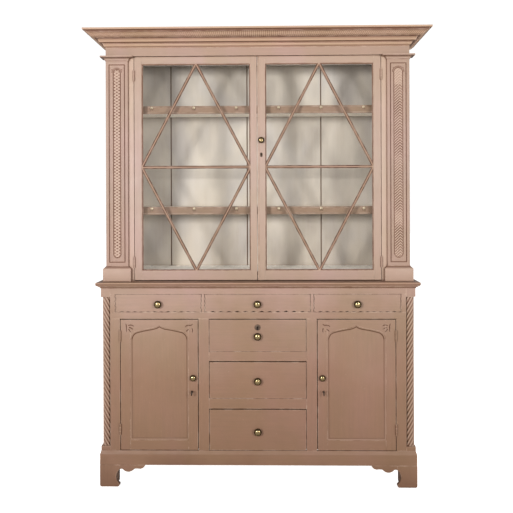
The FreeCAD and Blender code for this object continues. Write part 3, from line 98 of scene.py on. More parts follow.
class Finish:
    """A node material or world built up from small named steps. colour is what the steps have made so far."""

    def __init__(self, name, blocks=bpy.data.materials, output="ShaderNodeOutputMaterial"):
        self.block = blocks.new(name)
        self.block.use_nodes = True
        self.tree = self.block.node_tree
        self.tree.nodes.clear()
        self.output = self.add(output)
        self.colour = None

    def add(self, kind, inputs=None, **settings):
        node = self.tree.nodes.new(kind)
        for name, value in settings.items():
            setattr(node, name, value)
        for name, value in (inputs or {}).items():
            self.put(node.inputs[name], value)
        return node

    def put(self, socket, value):
        if isinstance(value, bpy.types.NodeSocket):
            self.tree.links.new(value, socket)
        else:
            socket.default_value = value

    def places(self):
        """Object coordinates, and the UVs that follow the grain."""
        outputs = self.add("ShaderNodeTexCoord").outputs
        return outputs["Object"], outputs["UV"]

    def axes(self, vector):
        return self.add("ShaderNodeSeparateXYZ", {"Vector": vector}).outputs

    def mix(self, factor, first, second, blend="MIX"):
        return self.add("ShaderNodeMix", {0: factor, 6: rgba(first), 7: rgba(second)}, data_type="RGBA",
                        blend_type=blend).outputs[2]

    def cover(self, tone, value, *limits, blend="MIX"):
        """Lays a tone over the colour as far as value says. Limits map the value first."""
        self.colour = self.mix(self.span(value, *limits) if limits else value, self.colour, tone, blend)

    def tint(self, tone, value, *limits):
        self.cover(tone, value, *limits, blend="MULTIPLY")

    def ramp(self, value, tones):
        node = self.add("ShaderNodeValToRGB", {"Fac": value})
        stops = node.color_ramp.elements
        while len(stops) < len(tones):
            stops.new(0.5)
        for stop, (at, tone) in zip(stops, tones):
            stop.position = at
            stop.color = rgba(tone)
        return node.outputs["Color"]

    def maths(self, operation, first, second):
        return self.add("ShaderNodeMath", {0: first, 1: second}, operation=operation).outputs[0]

    def span(self, value, low, high, to_low=0.0, to_high=1.0):
        return self.add("ShaderNodeMapRange", {"Value": value, "From Min": low, "From Max": high,
                                               "To Min": to_low, "To Max": to_high}).outputs["Result"]

    def within(self, vector, low, high):
        """1 between two corners of a box, 0 outside."""
        inside = 1.0
        for along, least, most in zip(self.axes(vector), low, high):
            for limit, value in (("GREATER_THAN", least), ("LESS_THAN", most)):
                inside = self.maths("MULTIPLY", inside, self.maths(limit, along, value))
        return inside

    def relief(self):
        """The stored relief value: 1 at the bottom of carved grooves and under mouldings, where soiling and
        painted shade are darkest; below 0 on a crest, which gets wear and painted highlight; 0 where nothing
        is carved.
        """
        return self.add("ShaderNodeAttribute", attribute_name="relief").outputs["Fac"]

    def noise(self, vector, scale, detail=3.0, roughness=0.5):
        """Noise of one scale, or of one for each axis."""
        if isinstance(scale, tuple):
            vector = self.add("ShaderNodeMapping", {"Vector": vector, "Scale": scale}).outputs["Vector"]
            scale = 1.0
        return self.add("ShaderNodeTexNoise", {"Vector": vector, "Scale": scale, "Detail": detail,
                                               "Roughness": roughness}).outputs["Fac"]

    def corners(self, reach, inside=False):
        """1 on open faces and less in hollows, or less near edges if it is measured inside the piece."""
        return self.add("ShaderNodeAmbientOcclusion", {"Distance": reach * MM}, samples=6, inside=inside,
                        only_local=inside).outputs["AO"]

    def bump(self, height, depth, strength, normal=None):
        node = self.add("ShaderNodeBump", {"Height": height, "Distance": depth * MM, "Strength": strength})
        if normal is not None:
            self.put(node.inputs["Normal"], normal)
        return node.outputs["Normal"]

    def shown_by(self, shader):
        self.put(self.output.inputs["Surface"], shader.outputs[0])
        return self.block

    def surface(self, roughness, normal, **inputs):
        named = {name.replace("_", " "): value for name, value in inputs.items()}
        return self.shown_by(self.add("ShaderNodeBsdfPrincipled", {
            "Base Color": self.colour, "Roughness": roughness, "Normal": normal, **named}))

    def blended(self, factor, first, second):
        shaders = {0: factor, 1: first.outputs[0], 2: second.outputs[0]}
        return self.shown_by(self.add("ShaderNodeMixShader", shaders))


# Share of PAINT_HEIGHT above the floor, and the paint's tone there, darker towards the floor as painted shade
PAINT_HEIGHT = 2.2
PAINT_TONES = [(0.02, (0.136, 0.070, 0.041)), (0.07, (0.171, 0.094, 0.057)), (0.23, (0.196, 0.110, 0.069)),
               (0.36, (0.224, 0.140, 0.094)), (0.43, (0.272, 0.176, 0.135)), (0.70, (0.300, 0.208, 0.172)),
               (0.95, (0.297, 0.200, 0.155))]
# Pale tone of worn paint on rubbed edges, also laid on crests as painted highlight
WORN_AND_HIGHLIGHT_PAINT = (0.50, 0.37, 0.29)
# Tones that multiply the paint: where it is thin, pinker, thick along a stroke, thin along a bristle, dusty
# and in painted shade in hollows, in painted shade in narrow gaps, and darker with soiling and painted shade
# in grooves and under mouldings
PATCH_TONE = (0.93, 0.965, 0.90)
PINK_TONE = (1.05, 1.02, 1.16)
STROKE_TONE = (1.12, 1.09, 1.08)
BRISTLE_TONE = (0.90, 0.88, 0.86)
DUST_AND_SHADE_TONE = (0.50, 0.35, 0.26)
NOOK_SHADE_TONE = (0.56, 0.235, 0.12)
SHADE_AND_DIRT_TONE = (0.36, 0.22, 0.15)
# The clean cream inside the upper case, and the cream that soiling and painted shade darken in its hollows
CREAM = ((0.96, 0.93, 0.90), (0.50, 0.40, 0.31))
SHELF_CREAM = ((0.98, 0.92, 0.84), (0.80, 0.72, 0.62))
# Corners of the boxes where faces are cream, and of the face frame's paler strips
CASE_LINING = ((-0.7304, -0.1156, 1.0376), (0.7304, 0.2495, 2.1274))
SHELF_LINING = ((-0.7400, -0.0790, 1.2000), (0.7400, 0.2600, 2.0000))
STRIPS = [((-0.6399, -0.1381, 1.0000), (-0.5800, -0.0800, 2.1060)),
          ((0.5800, -0.1381, 1.0000), (0.6399, -0.0800, 2.1060))]
STRIP_TINT = (1.26, 1.34, 1.34)


def paint_finish(kind="", worn=WORN_AND_HIGHLIGHT_PAINT, wear=0.5, rough=0.50, tint=None, lining=None, cream=CREAM,
                 strips=()):
    """Brushed eggshell paint: darker towards the floor as painted shade, brush marks, dust and painted shade
    in corners and gaps, soiling and painted shade in grooves, painted highlight and wear on crests, and
    rubbed edges.
    """
    finish = Finish("rose_brown_paint" + kind)
    spot, grain = finish.places()
    drift = finish.span(finish.noise(spot, 3.3), 0.3, 0.7, -0.09, 0.09)
    level = finish.maths("ADD", finish.axes(spot)["Z"], drift)
    # Painted shade: the tone darkens towards the floor
    finish.colour = finish.ramp(finish.span(level, 0.0, PAINT_HEIGHT), PAINT_TONES)
    finish.tint(PATCH_TONE, finish.noise(spot, 4.6, 4.0, 0.6), 0.36, 0.66)
    finish.tint(PINK_TONE, finish.noise(spot, (5.0, 5.0, 1.1)), 0.45, 0.68, 0.0, 0.8)
    strokes = finish.noise(grain, (5.0, 110.0, 1.0), 4.0, 0.6)
    finish.tint(STROKE_TONE, strokes, 0.3, 0.7, 0.0, 0.8)
    bristles = finish.noise(grain, (26.0, 620.0, 1.0), 3.0, 0.6)
    finish.tint(BRISTLE_TONE, bristles, 0.35, 0.75, 0.0, 0.5)
    # Dust and painted shade darken the hollows
    hollow = finish.corners(14)
    finish.tint(DUST_AND_SHADE_TONE, hollow, 0.10, 0.82, 0.68, 0.0)
    # Painted shade in narrow gaps between parts
    finish.tint(NOOK_SHADE_TONE, finish.corners(5), 0.25, 0.85, 1.0, 0.0)
    # Relief above 0 darkens with soiling and painted shade, below 0 lightens with wear and painted highlight
    carved = finish.relief()
    finish.tint(SHADE_AND_DIRT_TONE, carved, 0.0, 1.0, 0.0, 0.95)
    finish.cover(worn, carved, 0.0, -1.0, 0.0, 0.55)
    if tint:
        finish.tint(tint, 1.0)
    for low, high in strips:
        finish.tint(STRIP_TINT, finish.within(spot, low, high))
    edges = finish.span(finish.corners(3, inside=True), 0.90, 0.62)
    broken = finish.span(finish.noise(spot, 22.0, 4.0, 0.6), 0.52 - wear * 0.2, 0.66 - wear * 0.1)
    finish.cover(worn, finish.maths("MULTIPLY", finish.maths("MULTIPLY", edges, broken), 0.6))
    finish.cover(worn, finish.noise(spot, 160.0, 2.0), 0.73, 0.78, 0.0, 0.4)
    if lining:
        # Cream darkened in hollows by soiling and painted shade
        soiled_and_shaded = finish.mix(finish.span(hollow, 0.1, 0.9, 0.6, 0.0), *cream)
        finish.cover(soiled_and_shaded, finish.within(spot, *lining))
    roughness = finish.span(finish.noise(spot, 18.0), 0.3, 0.7, rough - 0.05, rough + 0.10)
    ridges = finish.maths("ADD", finish.maths("MULTIPLY", bristles, 0.6), strokes)
    normal = finish.bump(finish.noise(spot, 70.0), 0.25, 0.6, finish.bump(ridges, 0.35, 0.55))
    return finish.surface(roughness, normal, Specular_IOR_Level=0.32)


# Early and late wood of the pine, the dark of its pores, and the soiling and painted shade in its corners
PINE = ((0.62, 0.45, 0.27), (0.44, 0.28, 0.14))
PORE_TONE = (0.74, 0.66, 0.58)
PINE_DIRT_AND_SHADE = (0.45, 0.36, 0.28)


def pine_finish():
    """Bare pine: early and late wood in long streaks with a few knots' swirls."""
    finish = Finish("bare_pine")
    grain = finish.places()[1]
    bend = finish.maths("MULTIPLY", finish.noise(grain, (1.2, 5.0, 1.0), 2.0), 0.06)
    shift = finish.add("ShaderNodeCombineXYZ", {"Y": bend}).outputs[0]
    bent = finish.add("ShaderNodeVectorMath", {0: grain, 1: shift}, operation="ADD").outputs[0]
    rings = finish.noise(bent, (1.4, 62.0, 1.0), 3.0, 0.45)
    finish.colour = finish.mix(finish.span(rings, 0.36, 0.64), *PINE)
    pores = finish.noise(grain, (18.0, 900.0, 1.0), 2.0)
    finish.tint(PORE_TONE, pores, 0.45, 0.8, 0.0, 0.5)
    # Soiling and painted shade darken the corners
    finish.tint(PINE_DIRT_AND_SHADE, finish.corners(25), 0.2, 0.9, 0.6, 0.0)
    normal = finish.bump(finish.maths("ADD", rings, pores), 0.3, 0.5)
    return finish.surface(finish.span(pores, 0.3, 0.7, 0.5, 0.7), normal)


# Limewash on the upper back boards: its two tones, what darkens it, with soiling and painted shade in its
# corners and along the shelves, and the tone of the joints
LIMEWASH = ((0.372, 0.332, 0.292), (0.536, 0.484, 0.422))
COOL_TONE = (0.93, 0.955, 1.03)
STREAK_TONE = (0.83, 0.78, 0.70)
STAIN = (0.50, 0.42, 0.33)
LIMEWASH_DIRT_AND_SHADE = (0.52, 0.42, 0.33)
JOINT_TONE = (0.115, 0.070, 0.046)
LOW_BOARD_TONE = (0.91, 0.885, 0.86)
# Heights between which the low boards' tone fades out, and the depth where the limewash ends in bare pine
LOW_BOARDS = (1.05, 1.50)
BARE_FROM = (0.2550, 0.2562)


def limewash_finish():
    """Old cream limewash on the back boards, rubbed and stained along the grain."""
    finish = Finish("cream_boards")
    spot, grain = finish.places()
    across = finish.axes(spot)
    finish.colour = finish.mix(finish.span(finish.noise(spot, (6.5, 6.5, 3.0)), 0.34, 0.66), *LIMEWASH)
    finish.tint(COOL_TONE, finish.noise(spot, (5.2, 5.2, 2.86), 2.0), 0.48, 0.66, 0.0, 0.8)
    streaks = finish.noise(grain, (1.5, 46.0, 1.0), 5.0, 0.65)
    finish.tint(STREAK_TONE, streaks, 0.46, 0.78, 0.0, 0.30)
    finish.cover(STAIN, finish.noise(spot, (6.0, 6.0, 1.6), 6.0, 0.7), 0.60, 0.76, 0.0, 0.35)
    # Soiling and painted shade in corners and along the shelves
    finish.tint(LIMEWASH_DIRT_AND_SHADE, finish.corners(22), 0.2, 0.9, 0.42, 0.0)
    finish.cover(JOINT_TONE, finish.relief(), 0.0, 0.6)
    finish.tint(LOW_BOARD_TONE, across["Z"], *LOW_BOARDS, 1.0, 0.0)
    bare = finish.mix(finish.span(streaks, 0.36, 0.64), *PINE)
    finish.cover(bare, across["Y"], *BARE_FROM)
    return finish.surface(0.72, finish.bump(streaks, 0.5, 0.6), Specular_IOR_Level=0.25)


# Cast brass: rubbed, tarnished, darkened towards knob rims and backs and on worn plates by tarnish and
# painted shade, and the soiling in its corners
BRASS = ((0.40, 0.30, 0.15), (0.15, 0.11, 0.055))
TARNISH_AND_SHADE_BRASS = (0.055, 0.038, 0.020)
BRASS_DIRT = (0.20, 0.15, 0.08)


def brass_finish():
    """Cast brass with olive-brown tarnish in the hollows and rubbed crowns, darker towards knob rims with
    tarnish and painted shade.
    """
    finish = Finish("aged_brass")
    spot = finish.places()[0]
    blotch = finish.noise(spot, 240.0, 4.0, 0.6)
    finish.colour = finish.mix(finish.span(blotch, 0.35, 0.7, 0.10, 0.60), *BRASS)
    # Tarnish and painted shade where relief is high: knob rims and backs
    finish.cover(TARNISH_AND_SHADE_BRASS, finish.relief(), 0.28, 0.88, 0.0, 0.93)
    finish.tint(BRASS_DIRT, finish.corners(6), 0.25, 0.9, 0.9, 0.0)
    normal = finish.bump(finish.noise(spot, 900.0, 2.0), 0.06, 0.5)
    return finish.surface(finish.span(blotch, 0.3, 0.7, 0.20, 0.34), normal, Metallic=1.0)


# Painted shade for metal where a piece stores relief, as on the cup hooks' wires and rims
METAL_SHADE = (0.30, 0.20, 0.13)


def metal_finish(name, light, dark, metallic, rough):
    finish = Finish(name)
    blotch = finish.noise(finish.places()[0], 320.0, 5.0, 0.65)
    finish.colour = finish.mix(finish.span(blotch, 0.35, 0.68), light, dark)
    # Painted shade where relief is set
    finish.tint(METAL_SHADE, finish.relief(), 0.0, 1.0, 0.0, 0.9)
    roughness = finish.span(blotch, 0.3, 0.7, rough - 0.1, rough + 0.12)
    return finish.surface(roughness, finish.bump(blotch, 0.15, 0.6), Metallic=metallic)


# Share of the full reflection that the panes give
GLASS_SHEEN = 0.12
GLASS_TINT = (0.992, 0.997, 0.995)


def glass_finish():
    """Thin window glass: clear, with a faint soft sheen and the ripple of old sheet."""
    finish = Finish("window_glass")
    normal = finish.bump(finish.noise(finish.places()[0], 7.0, 2.0), 1.2, 0.35)
    clear = finish.add("ShaderNodeBsdfTransparent", {"Color": rgba(GLASS_TINT)})
    gloss = finish.add("ShaderNodeBsdfGlossy", {"Roughness": 0.3, "Normal": normal})
    facing = finish.add("ShaderNodeFresnel", {"IOR": 1.45, "Normal": normal}).outputs[0]
    inner = finish.add("ShaderNodeNewGeometry").outputs["Backfacing"]
    outer = finish.span(inner, 0.0, 1.0, GLASS_SHEEN, 0.0)
    return finish.blended(finish.maths("MULTIPLY", facing, outer), clear, gloss)


PAINT = paint_finish()
LINED_PAINT = paint_finish("_cream_inside", lining=CASE_LINING)
DOOR_PAINT = paint_finish("_pale", rough=0.48, tint=(1.10, 1.15, 1.16))
# The bars' darker paint is partly their own tone and partly painted shade
BAR_PAINT = paint_finish("_bars", tint=(0.76, 0.68, 0.59))
FRAME_PAINT = paint_finish("_strips", strips=STRIPS)
CORNICE_PAINT = paint_finish("_cornice", wear=0.6, tint=(1.18, 1.14, 1.03))
SHELF_PAINT = paint_finish("_dull", (0.42, 0.32, 0.26), 0.7, 0.62, (0.72, 0.68, 0.58), SHELF_LINING,
                           SHELF_CREAM)
SOFT_PAINT = paint_finish("_soft", wear=-1.0)
TOP_PAINT = paint_finish("_rubbed", wear=0.8, rough=0.46, tint=(0.84, 0.76, 0.66))
HOOK_METAL = metal_finish("pale_brass", (0.72, 0.62, 0.46), (0.46, 0.36, 0.24), 0.35, 0.36)
FINISHES = {
    "painted_wood": PAINT,
    "painted_hinge_steel": PAINT,
    "cream_painted_wood": limewash_finish(),
    "bare_wood": pine_finish(),
    "clear_glass": glass_finish(),
    "antique_brass": brass_finish(),
    "dark_iron": metal_finish("browned_iron", (0.09, 0.06, 0.045), (0.035, 0.022, 0.016), 0.7, 0.55),
    "lock_steel": metal_finish("dull_steel", (0.115, 0.070, 0.042), (0.055, 0.034, 0.020), 0.15, 0.6),
}


# Mesh helpers

# The least area of a large flat face in square metres, how alike two normals have to be, and how close
# together two points of a CAD mesh count as one
LEAST_FLAT_AREA = 0.002
SAME_WAY = 0.6
SAME_POINT = 0.001 * MM


def keep_flat(mesh):
    """Large flat faces keep their own normal up to their edges, so that rounded edges don't shade them."""
    flat_at = {}
    for face in mesh.polygons:
        if face.area > LEAST_FLAT_AREA:
            for vertex in face.vertices:
                flat_at.setdefault(vertex, []).append(face.normal.copy())
    normals = [corner.vector.copy() for corner in mesh.corner_normals]
    for face in mesh.polygons:
        for loop in face.loop_indices:
            near = max(flat_at.get(mesh.loops[loop].vertex_index, []), key=face.normal.dot, default=None)
            if near is not None and near.dot(face.normal) > SAME_WAY:
                normals[loop] = near
    mesh.normals_split_custom_set(normals)


def added_piece(bm, name, node, smooth=50.0, material=None, flat=False):
    """A shown piece from a bmesh, smooth but for its sharp edges, that rides with a CAD node."""
    bmesh.ops.recalc_face_normals(bm, faces=bm.faces)
    mesh = bpy.data.meshes.new(name)
    bm.to_mesh(mesh)
    bm.free()
    mesh.shade_smooth()
    mesh.set_sharp_from_angle(angle=math.radians(smooth))
    if flat:
        keep_flat(mesh)
    mesh.materials.append(material or FINISHES[SLOT_OF[node]])
    piece = put_in_scene(name, mesh)
    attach(piece, BODY_OF[node])
    return piece


def finish_piece(bm, name, node, smooth=38.0, material=None, flat=False):
    """A piece that also stands for its CAD node."""
    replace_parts(added_piece(bm, name, node, smooth, material, flat), node)


def put_grain(bm, axis, seed):
    """UVs in metres, u along the board and v across it, moved at random from board to board."""
    layer = bm.loops.layers.uv.verify()
    shift = random.Random(seed)
    move = (shift.uniform(0, 9), shift.uniform(0, 9))
    for face in bm.faces:
        weights = [abs(face.normal[k]) if k != axis else -1.0 for k in range(3)]
        facing = weights.index(max(weights))
        across = [k for k in range(3) if k not in (axis, facing)][0]
        for loop in face.loops:
            spot = loop.vert.co
            loop[layer].uv = (spot[axis] + move[0], spot[across] + 0.37 * spot[3 - axis - across] + move[1])


def put_relief(bm, depth_of):
    """Stores how deep each point lies in the carving, as the value that the finishes read: above 0 it darkens
    with soiling and painted shade, below 0 it lightens with wear and painted highlight.
    """
    layer = bm.verts.layers.float.new("relief")
    for vertex in bm.verts:
        vertex[layer] = depth_of(vertex.co / MM)


def solids_of(node):
    """The closed solids of a CAD node: all its points, and the faces of each solid."""
    mesh = NODES[node].data
    index_of = {}
    points = []
    corner = []
    for vertex in mesh.vertices:
        key = tuple(round(value / SAME_POINT) for value in vertex.co)
        if index_of.setdefault(key, len(points)) == len(points):
            points.append(vertex.co.copy())
        corner.append(index_of[key])
    solids = []
    faces = []
    unpaired = set()
    for polygon in mesh.polygons:
        ring = [corner[i] for i in polygon.vertices]
        if len(set(ring)) < 3:
            continue
        faces.append(ring)
        for a, b in zip(ring, ring[1:] + ring[:1]):
            if (b, a) in unpaired:
                unpaired.remove((b, a))
            else:
                unpaired.add((a, b))
        if not unpaired:
            solids.append(faces)
            faces = []
    if faces:
        solids.append(faces)
    return points, solids


def solid_bmesh(points, faces):
    bm = bmesh.new()
    made = {i: bm.verts.new(points[i]) for i in dict.fromkeys(i for ring in faces for i in ring)}
    for ring in faces:
        # A triangle that stands twice in the CAD mesh is made once
        if not bm.faces.get([made[i] for i in ring]):
            bm.faces.new([made[i] for i in ring])
    bm.normal_update()
    return bm


def soften(bm, width):
    """Joins the triangles of flat faces and rounds the sharp edges a little."""
    bmesh.ops.dissolve_limit(bm, angle_limit=math.radians(0.6), verts=bm.verts, edges=bm.edges,
                             use_dissolve_boundaries=False)
    bm.normal_update()
    sharp = [e for e in bm.edges if len(e.link_faces) == 2 and e.calc_face_angle(0.0) > math.radians(28.0)]
    if sharp:
        bmesh.ops.bevel(bm, geom=sharp, offset=width * MM, offset_type="OFFSET", segments=2, profile=0.6,
                        affect="EDGES", clamp_overlap=True)
    bmesh.ops.dissolve_degenerate(bm, dist=0.002 * MM, edges=bm.edges)
    bm.normal_update()


def merged(parts):
    """One bmesh from several."""
    whole = bmesh.new()
    for part in parts:
        mesh = bpy.data.meshes.new("part")
        part.to_mesh(mesh)
        part.free()
        whole.from_mesh(mesh)
        bpy.data.meshes.remove(mesh)
    return whole


def trim_edges(bm, node, trims):
    """Moves the outer sides of a front in by trims: left, right, bottom and top."""
    low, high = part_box(node)
    reach = 0.05 * MM
    left, right, bottom, top = [trim * MM for trim in trims]
    for vertex in bm.verts:
        spot = vertex.co
        spot.x += left * (spot.x < low[0] + reach) - right * (spot.x > high[0] - reach)
        spot.z += bottom * (spot.z < low[2] + reach) - top * (spot.z > high[2] - reach)


def cut_out(bm, cutter):
    """The solid bm without the solids of the cutter mesh."""
    parts = []
    for source in (bm, cutter):
        mesh = bpy.data.meshes.new("cut")
        source.to_mesh(mesh)
        parts.append(put_in_scene("cut", mesh))
    step = parts[0].modifiers.new("cut", "BOOLEAN")
    step.object = parts[1]
    step.operation = "DIFFERENCE"
    step.solver = "EXACT"
    seen = bpy.context.evaluated_depsgraph_get()
    made = bpy.data.meshes.new_from_object(parts[0].evaluated_get(seen))
    result = bmesh.new()
    result.from_mesh(made)
    for body in parts:
        mesh = body.data
        bpy.data.objects.remove(body)
        bpy.data.meshes.remove(mesh)
    bpy.data.meshes.remove(made)
    bm.free()
    return result


def worked_over(node, width, cutter=None, material=None, trims=None, depth_of=None, slices=(), flat=True):
    """The CAD node's own solids with edges worn to a width, and a grain direction for each board."""
    points, solids = solids_of(node)
    parts = []
    for index, faces in enumerate(solids):
        bm = solid_bmesh(points, faces)
        if trims:
            trim_edges(bm, node, trims)
        soften(bm, width)
        if cutter:
            bm = cut_out(bm, cutter)
        spots = [[vertex.co[k] for vertex in bm.verts] for k in range(3)]
        sizes = [max(values) - min(values) for values in spots]
        put_grain(bm, sizes.index(max(sizes)), node + str(index))
        for level in slices:
            bmesh.ops.bisect_plane(bm, geom=bm.verts[:] + bm.edges[:] + bm.faces[:], plane_co=mm(0, 0, level),
                                   plane_no=(0, 0, 1))
        if depth_of:
            put_relief(bm, depth_of)
        parts.append(bm)
    finish_piece(merged(parts), node + "_piece", node, material=material, flat=flat)


def skin(bm, rings, looped=False):
    """Joins rings of vertices one after another, and the last one to the first in a looped run."""
    for first, second in zip(rings, rings[1:] + (rings[:1] if looped else [])):
        for k in range(len(first)):
            n = (k + 1) % len(first)
            bm.faces.new((first[k], first[n], second[n], second[k]))


def loft(bm, rings):
    """Skins rings of points one after another and closes both ends."""
    made = [[bm.verts.new(point) for point in ring] for ring in rings]
    skin(bm, made)
    bm.faces.new(made[0][::-1])
    bm.faces.new(made[-1])


def lathe(bm, profile, x, z, count):
    """Turns (radius, y) points round the line through x, z that runs front to back."""
    loft(bm, [[mm(x + radius * math.cos(a), y, z + radius * math.sin(a)) for a in turns(count)]
              for radius, y in profile])


def push_to(made, y):
    """Moves the points of an extrusion to the depth y."""
    for item in made["geom"]:
        if isinstance(item, bmesh.types.BMVert):
            item.co.y = y * MM


def prism(bm, outline, y0, y1):
    """A block with the given front outline, from y0 to y1."""
    face = bm.faces.new([bm.verts.new(mm(x, y0, z)) for x, z in outline])
    push_to(bmesh.ops.extrude_face_region(bm, geom=[face]), y1)


def arc(start, middle, end, count):
    """Points of the circle through three points of a drawing, without the first one."""
    (ax, ay), (bx, by), (cx, cy) = start, middle, end
    a2, b2, c2 = ax * ax + ay * ay, bx * bx + by * by, cx * cx + cy * cy
    d = 2 * (ax * (by - cy) + bx * (cy - ay) + cx * (ay - by))
    ux = (a2 * (by - cy) + b2 * (cy - ay) + c2 * (ay - by)) / d
    uy = (a2 * (cx - bx) + b2 * (ax - cx) + c2 * (bx - ax)) / d
    radius = math.hypot(ax - ux, ay - uy)
    first, second, third = [math.atan2(y - uy, x - ux) for x, y in (start, middle, end)]
    sweep = (third - first) % math.tau
    if (second - first) % math.tau > sweep:
        sweep -= math.tau
    angles = [first + sweep * k / count for k in range(1, count + 1)]
    return [(ux + radius * math.cos(a), uy + radius * math.sin(a)) for a in angles]


def smooth_line(points, per_run):
    """Points of a smooth curve through the given ones."""
    spots = [Vector(point) for point in points]
    ends = [spots[0] * 2 - spots[1]] + spots + [spots[-1] * 2 - spots[-2]]
    line = []
    for a, b, c, d in zip(ends, ends[1:], ends[2:], ends[3:]):
        for k in range(per_run):
            t = k / per_run
            line.append(0.5 * (2 * b + (c - a) * t + (2 * a - 5 * b + 4 * c - d) * t * t
                               + (3 * b - a - 3 * c + d) * t ** 3))
    return line + [spots[-1]]


def run_at(line, k):
    """Direction of a line of points at its point k."""
    before, after = line[max(k - 1, 0)], line[min(k + 1, len(line) - 1)]
    return Vector([b - a for a, b in zip(before, after)]).normalized()


def stepped(places, sizes):
    """Points from each place to the next, about as far apart as the size given for that stretch."""
    points = []
    for low, high, size in zip(places, places[1:], sizes):
        count = max(1, round((high - low) / size))
        points += [low + (high - low) * k / count for k in range(count)]
    return points + [places[-1]]


# Cornice: the small reeds that stand on its hollow-and-round band. REED_SECTION is across and out as shares
# of REED_HALF and REED_RISE, CYMA is the band's projection and height, BAND_REACH its mean projection.
# Towards the left end, over REED_FADE, the reeds' painted shade and highlight fade to REED_LEAST of their
# strength.
REED_PITCH = 9.6
REED_HALF = 3.7
REED_RISE = 2.1
REED_SECTION = ((-1.0, -0.8), (-0.72, 0.55), (0.0, 1.0), (0.72, 0.55), (1.0, -0.8))
REED_RELIEF = (1.0, 0.8, -1.3, 0.8, 1.0)
REED_FADE = (-290, -190)
REED_LEAST = 0.35
CYMA = [(46.4, 45.4)] + arc((46, 46), (57, 49), (64.5, 56), 4) + arc((64.5, 56), (71.5, 63), (81, 66), 4)
BAND_REACH = 60
CORNICE_SEAT = 2147
FRIEZE_FACE = -152
UPPER_HALF = 750
CASE_BACK = 257


def reed(bm, start, slant, outward, along):
    """One reed. start is its place in plan at no projection, and slant is how it moves with projection."""
    start, slant, outward, along = [Vector(pair) for pair in (start, slant, outward, along)]
    rings = []
    for k, (out, up) in enumerate(CYMA):
        rise = run_at(CYMA, k)
        ring = []
        for across, lift in REED_SECTION:
            at = start + slant * out + along * (across * REED_HALF) + outward * (rise.y * lift * REED_RISE)
            ring.append(mm(at.x, at.y, CORNICE_SEAT + up - rise.x * lift * REED_RISE))
        rings.append(ring)
    loft(bm, rings)


def cornice_reeds():
    bm = bmesh.new()
    count = round(2 * (UPPER_HALF + BAND_REACH) / REED_PITCH)
    for k in range(count):
        share = 2 * (k + 0.5) / count - 1
        reed(bm, (share * UPPER_HALF, FRIEZE_FACE), (share, -1), (0, -1), (1, 0))
    depth = CASE_BACK - FRIEZE_FACE
    count = round((depth + BAND_REACH) / REED_PITCH)
    for side in SIDES.values():
        for k in range(count):
            share = (k + 0.5) / count
            reed(bm, (side * UPPER_HALF, CASE_BACK - share * depth), (side, -share), (side, 0), (0, 1))
    put_grain(bm, 0, "reeds")
    # Painted shade on the reeds' sides, painted highlight on their crowns
    layer = bm.verts.layers.float.new("relief")
    for index, vertex in enumerate(bm.verts):
        clear = (vertex.co.x / MM - REED_FADE[0]) / (REED_FADE[1] - REED_FADE[0])
        vertex[layer] = REED_RELIEF[index % len(REED_RELIEF)] * clamp(clear, REED_LEAST)
    added_piece(bm, "cornice_reeds", "cornice", material=CORNICE_PAINT)


# Pilasters: sunk fields with carved lattice on the left and herringbone on the right. Places across are
# from a pilaster's middle.
PILASTER_MIDDLE = 695
PILASTER_HALF = 55
PILASTER_Z = (1067, 2085)
FIELD_ENDS = (1109, 2043)
# The grid of the face: places across and up, and the steps between them
GRID_X = (-54.4, -54.0, -53.0, -41.0, -34.0, -28.0, 28.0, 34.0, 41.0, 53.0, 54.0, 54.4)
GRID_X_STEPS = (0.4, 1.0, 4.0, 1.0, 2.0, 1.15, 2.0, 1.0, 4.0, 1.0, 0.4)
GRID_Z = (PILASTER_Z[0], PILASTER_Z[0] + 16, PILASTER_Z[1] - 16, PILASTER_Z[1])
GRID_Z_STEPS = (8.0, 1.75, 8.0)
ARRIS_FROM = 53.5
ARRIS_SLOPE = 0.5
RETURN_DEPTH = 0.9
POST_DEPTH = 14.0
# The sunk line round the face: inset from its sides and ends, then inset, half width and depth of the line
RING_INSET = (15, 18)
RING_AT = 2.0
RING_HALF = 2.6
RING_DEPTH = 4.2
# Inside that line the face lies lower by a step, and then dishes: from, slope and most
STEP_FROM = 4.4
STEP_DEPTH = 0.25
DISH = (9.0, 0.8, 1.1)
# Half width and depth of the field's outline and of the second line round its head, which runs at some
# distance from it. The spots beside the head: place across, radius and depth.
FIELD_LINE = (2.6, 4.6)
HEAD_LINE_AT = 6.5
HEAD_LINE = (2.2, 2.8)
HEAD_SPOT = (24.0, 4.0, 2.6)
# The beads beside the field: distance from it, pitch, radius and height
BEADS_AT = 5.2
BEAD_PITCH = 7.2
BEAD_SPOT = (2.4, 1.3)
# The two fields: half widths, the lattice's cell, the herringbone's pitch and where its ribs turn, the height
# above which it is worn flatter, and how far apart along a pilaster its worn places are
LATTICE_HALF = 17.5
HERRINGBONE_HALF = 21.5
LATTICE_CELL = (24.0, 15.5)
HERRINGBONE_PITCH = 13.5
HERRINGBONE_SPINE = 8.0
HERRINGBONE_WORN_FROM = 1960
WEAR_RUN = 90.0


def ridge(value, half):
    """1 on a line, falling to 0 at half away from it."""
    return max(0.0, 1.0 - abs(value) / half)


def worn_down(z, seed):
    return 0.62 + 0.55 * noise.noise(Vector((seed, 0.0, z / WEAR_RUN)))


def lattice_relief(x, z):
    """Depth below the pilaster's face inside the left field, and the painted shade with soiling in its cuts
    there, with painted highlight between them.
    """
    wide, tall = LATTICE_CELL
    slants = (x / wide + z / tall, x / wide - z / tall)
    line = min(abs(slant - round(slant)) for slant in slants)
    cut = clamp(worn_down(z, 3.0) + 0.35, 0.45) * clamp((line - 0.17) / 0.14)
    return -0.4 - 2.8 * cut + 0.9 * (1 - (x / 18.0) ** 2), 1.7 * cut - 0.8


